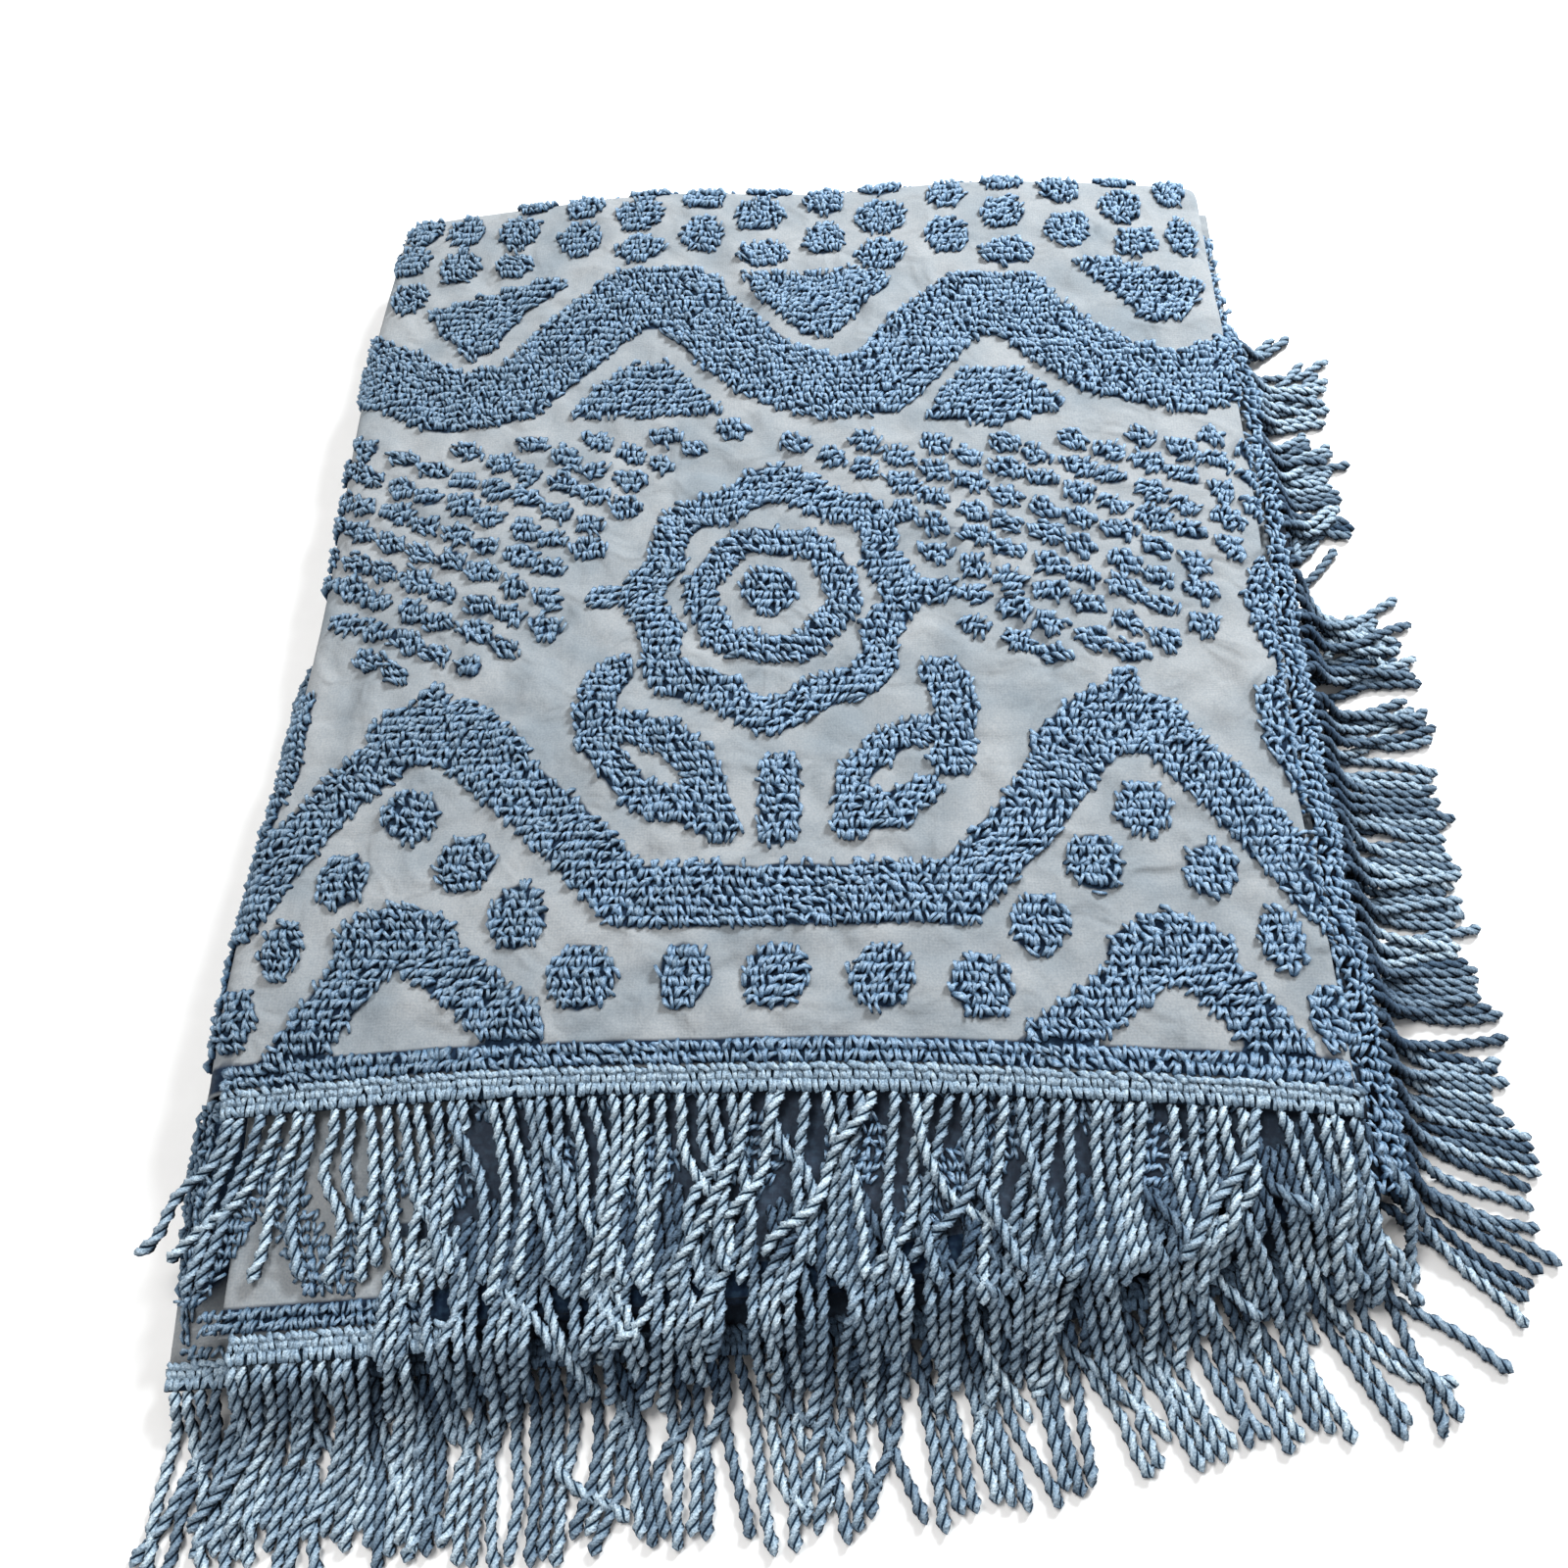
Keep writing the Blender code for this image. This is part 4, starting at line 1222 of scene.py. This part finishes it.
def headingRibs(run):
    start, end = run["ends"][0], mix(*run["ends"], run.get("ribbedTo", run["shown"]))
    ribs = []
    for out, width, length, height, slant, pitch in headingRows:
        for number in range(int((end - start) / pitch)):
            place = start + (number + 0.5 + jitter(0.25)) * pitch
            here = edgePoint(run, place, out + jitter(0.0004))
            way = normalize(edgePoint(run, place, out + 0.001) - here)
            ribs.append((here + np.array([0, 0, 0.001]), np.cross(way, (0, 0, 1)), way,
                         (width, length, height), rng.normal(slant, 0.25)))
    if not ribs:
        return np.zeros((0, 3)), np.zeros((0, 4), int), np.zeros(0)
    middles, acrossWay, alongWay, sizes, slants = map(np.array, zip(*ribs))
    sizes = sizes * rng.uniform(0.85, 1.15, sizes.shape)
    made, faces, rise = loopsAt(middles, acrossWay, alongWay, sizes, slants, rng.normal(0, 0.2, len(ribs)),
                                rng.choice((-0.3, 0.3), len(ribs)))
    # painted shade in the grooves of the ribs and a painted highlight on their crowns
    return made, faces, 0.12 + 0.75 * rise


laid, cordRuns, radii = [], [], []
for name, run in runs.items():
    for number, (middle, pull) in enumerate(clumpsOf(run)):
        laid.append(layCord(run, number, middle, pull))
        cordRuns.append(name)
        radii.append(run["radius"])
settled = settleCords(*zip(*laid), radii)
print("cords settled:", len(settled))

fringeTones = {
    "heading": (0.35, 0.75),
    "shadedHeading": 0.12,  # painted shadow: share of that where the heading lies under the tier above
    "shadowShare": 0.1,  # painted shadow: share of a cord's own lightness where it lies in the shade
}


def fringeParts(run, paths):
    # points, faces, rise, lit and tone of the heading and of each cord
    shownTo = mix(*run["ends"], run["shown"])
    for points, faces, rise in (headingStrip(run), headingRibs(run)):
        tone = np.repeat(rng.uniform(*fringeTones["heading"], len(points) // 7 + 1), 7)[:len(points)]
        # painted shadow: the heading is darker where it lies under the tier above
        tone = tone * np.where(points[:, 0] > shownTo, fringeTones["shadedHeading"], 1.0)
        yield points, faces, rise, np.ones(len(points)), tone
    for path in paths:
        path = smoothPath(path, fringe["rings"])
        made, rise, lit = twistCord(path, rng.uniform(0, 2 * math.pi), run["radius"], run["turn"])
        # under the tier above, and beside the cloth, the cords are darkened with painted shadow
        inSight = run["along"] == "hem" and shownTo > path[0][0]
        hidden, shown = runs["foot_fringe_top"]["outOfShadow"] if inSight else run["outOfShadow"]
        outOfShadow = ease((np.linspace(0, 1, len(rise)) - hidden) / (shown - hidden))
        tone = rng.uniform(*run["tones"]) * (fringeTones["shadowShare"] + (1 - fringeTones["shadowShare"]) * outOfShadow)
        yield made.reshape(-1, 3), cordFaces, rise.ravel(), lit.ravel(), np.repeat(tone, rise.shape[1])


for name, run in runs.items():
    points, faces, rise, lit, tone = zip(*fringeParts(run, settled[np.array(cordRuns) == name]))
    starts = running([len(part) for part in points])
    faces = [part + start for part, start in zip(faces, starts)]
    piece = finishMesh("cords_" + name, np.vstack(points), np.vstack(faces), cordCotton)
    pointValues(piece, rise=np.concatenate(rise), lit=np.concatenate(lit), tone=np.concatenate(tone))
    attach(piece, "root")
    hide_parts(name)
    print("fringe made:", name)

studio = {
    "floor": (0.94, 0.94, 0.94),
    "floorGrain": (0.915, 0.915, 0.915),
    "floorBelow": 0.0004,  # under everything
    "sky": (0.97, 0.98, 1.0),
    "skyStrength": 0.4,
    "lamps": {  # place, aim, size, watts, colour
        "window": ((0.9, 1.15, 1.3), (0.0, 0.05, 0.0), 0.6, 56, (0.94, 0.98, 1.0)),
        "ceiling": ((-0.6, 0.2, 2.3), (0.0, 0.0, 0.0), 1.0, 32, (1.0, 0.98, 0.95)),
        "front fill": ((-0.4, -1.9, 1.3), (0.0, 0.0, 0.0), 1.2, 4, (1.0, 0.98, 0.96)),
    },
}

floorMaterial, floorTree, floorShader, coordinates = newMaterial("plain pale floor", 0.85, 0.0)
floorStops = ((0.3, studio["floorGrain"]), (0.7, studio["floor"]))
dress(floorTree, floorShader, colourRamp(floorTree, noise(floorTree, coordinates, 60, 3.0), floorStops))
bpy.ops.mesh.primitive_plane_add(size=14, location=(0, 0, -studio["floorBelow"]))
floor = bpy.context.object
floor.name = "studio_floor"
floor.data.materials.append(floorMaterial)

world = bpy.data.worlds.new("studio sky")
bpy.context.scene.world = world
world.use_nodes = True
background = world.node_tree.nodes["Background"]
background.inputs["Color"].default_value = (*studio["sky"], 1.0)
background.inputs["Strength"].default_value = studio["skyStrength"]

for name, (place, aim, size, watts, colour) in studio["lamps"].items():
    light = bpy.data.lights.new(name, "AREA")
    light.shape = "DISK"
    light.size = size
    light.energy = watts
    light.color = colour
    lamp = bpy.data.objects.new(name, light)
    lamp.location = place
    lamp.rotation_euler = (Vector(aim) - Vector(place)).to_track_quat("-Z", "Y").to_euler()
    bpy.context.scene.collection.objects.link(lamp)
print("studio lit")

view = {
    "place": (0.0621, -0.233, 0.738),  # in the maker's layout
    "down": 59.034,
    "turn": -8.652,
    "roll": -8.313,
    "sensor": 36,
    "focal": 1541 / 1600 * 36,
}

cameraData = bpy.data.cameras.new("camera")
cameraData.sensor_width = view["sensor"]
cameraData.lens = view["focal"]
cameraData.clip_start = 0.01
camera = bpy.data.objects.new("camera", cameraData)
camera.matrix_world = Matrix.Translation(Vector(view["place"]) - Vector(layoutOrigin))
for degrees, axis in ((-view["turn"], "Z"), (90 - view["down"], "X"), (view["roll"], "Z")):
    camera.matrix_world = camera.matrix_world @ Matrix.Rotation(math.radians(degrees), 4, axis)
bpy.context.scene.collection.objects.link(camera)
bpy.context.scene.camera = camera
bpy.context.scene.view_settings.view_transform = "Standard"
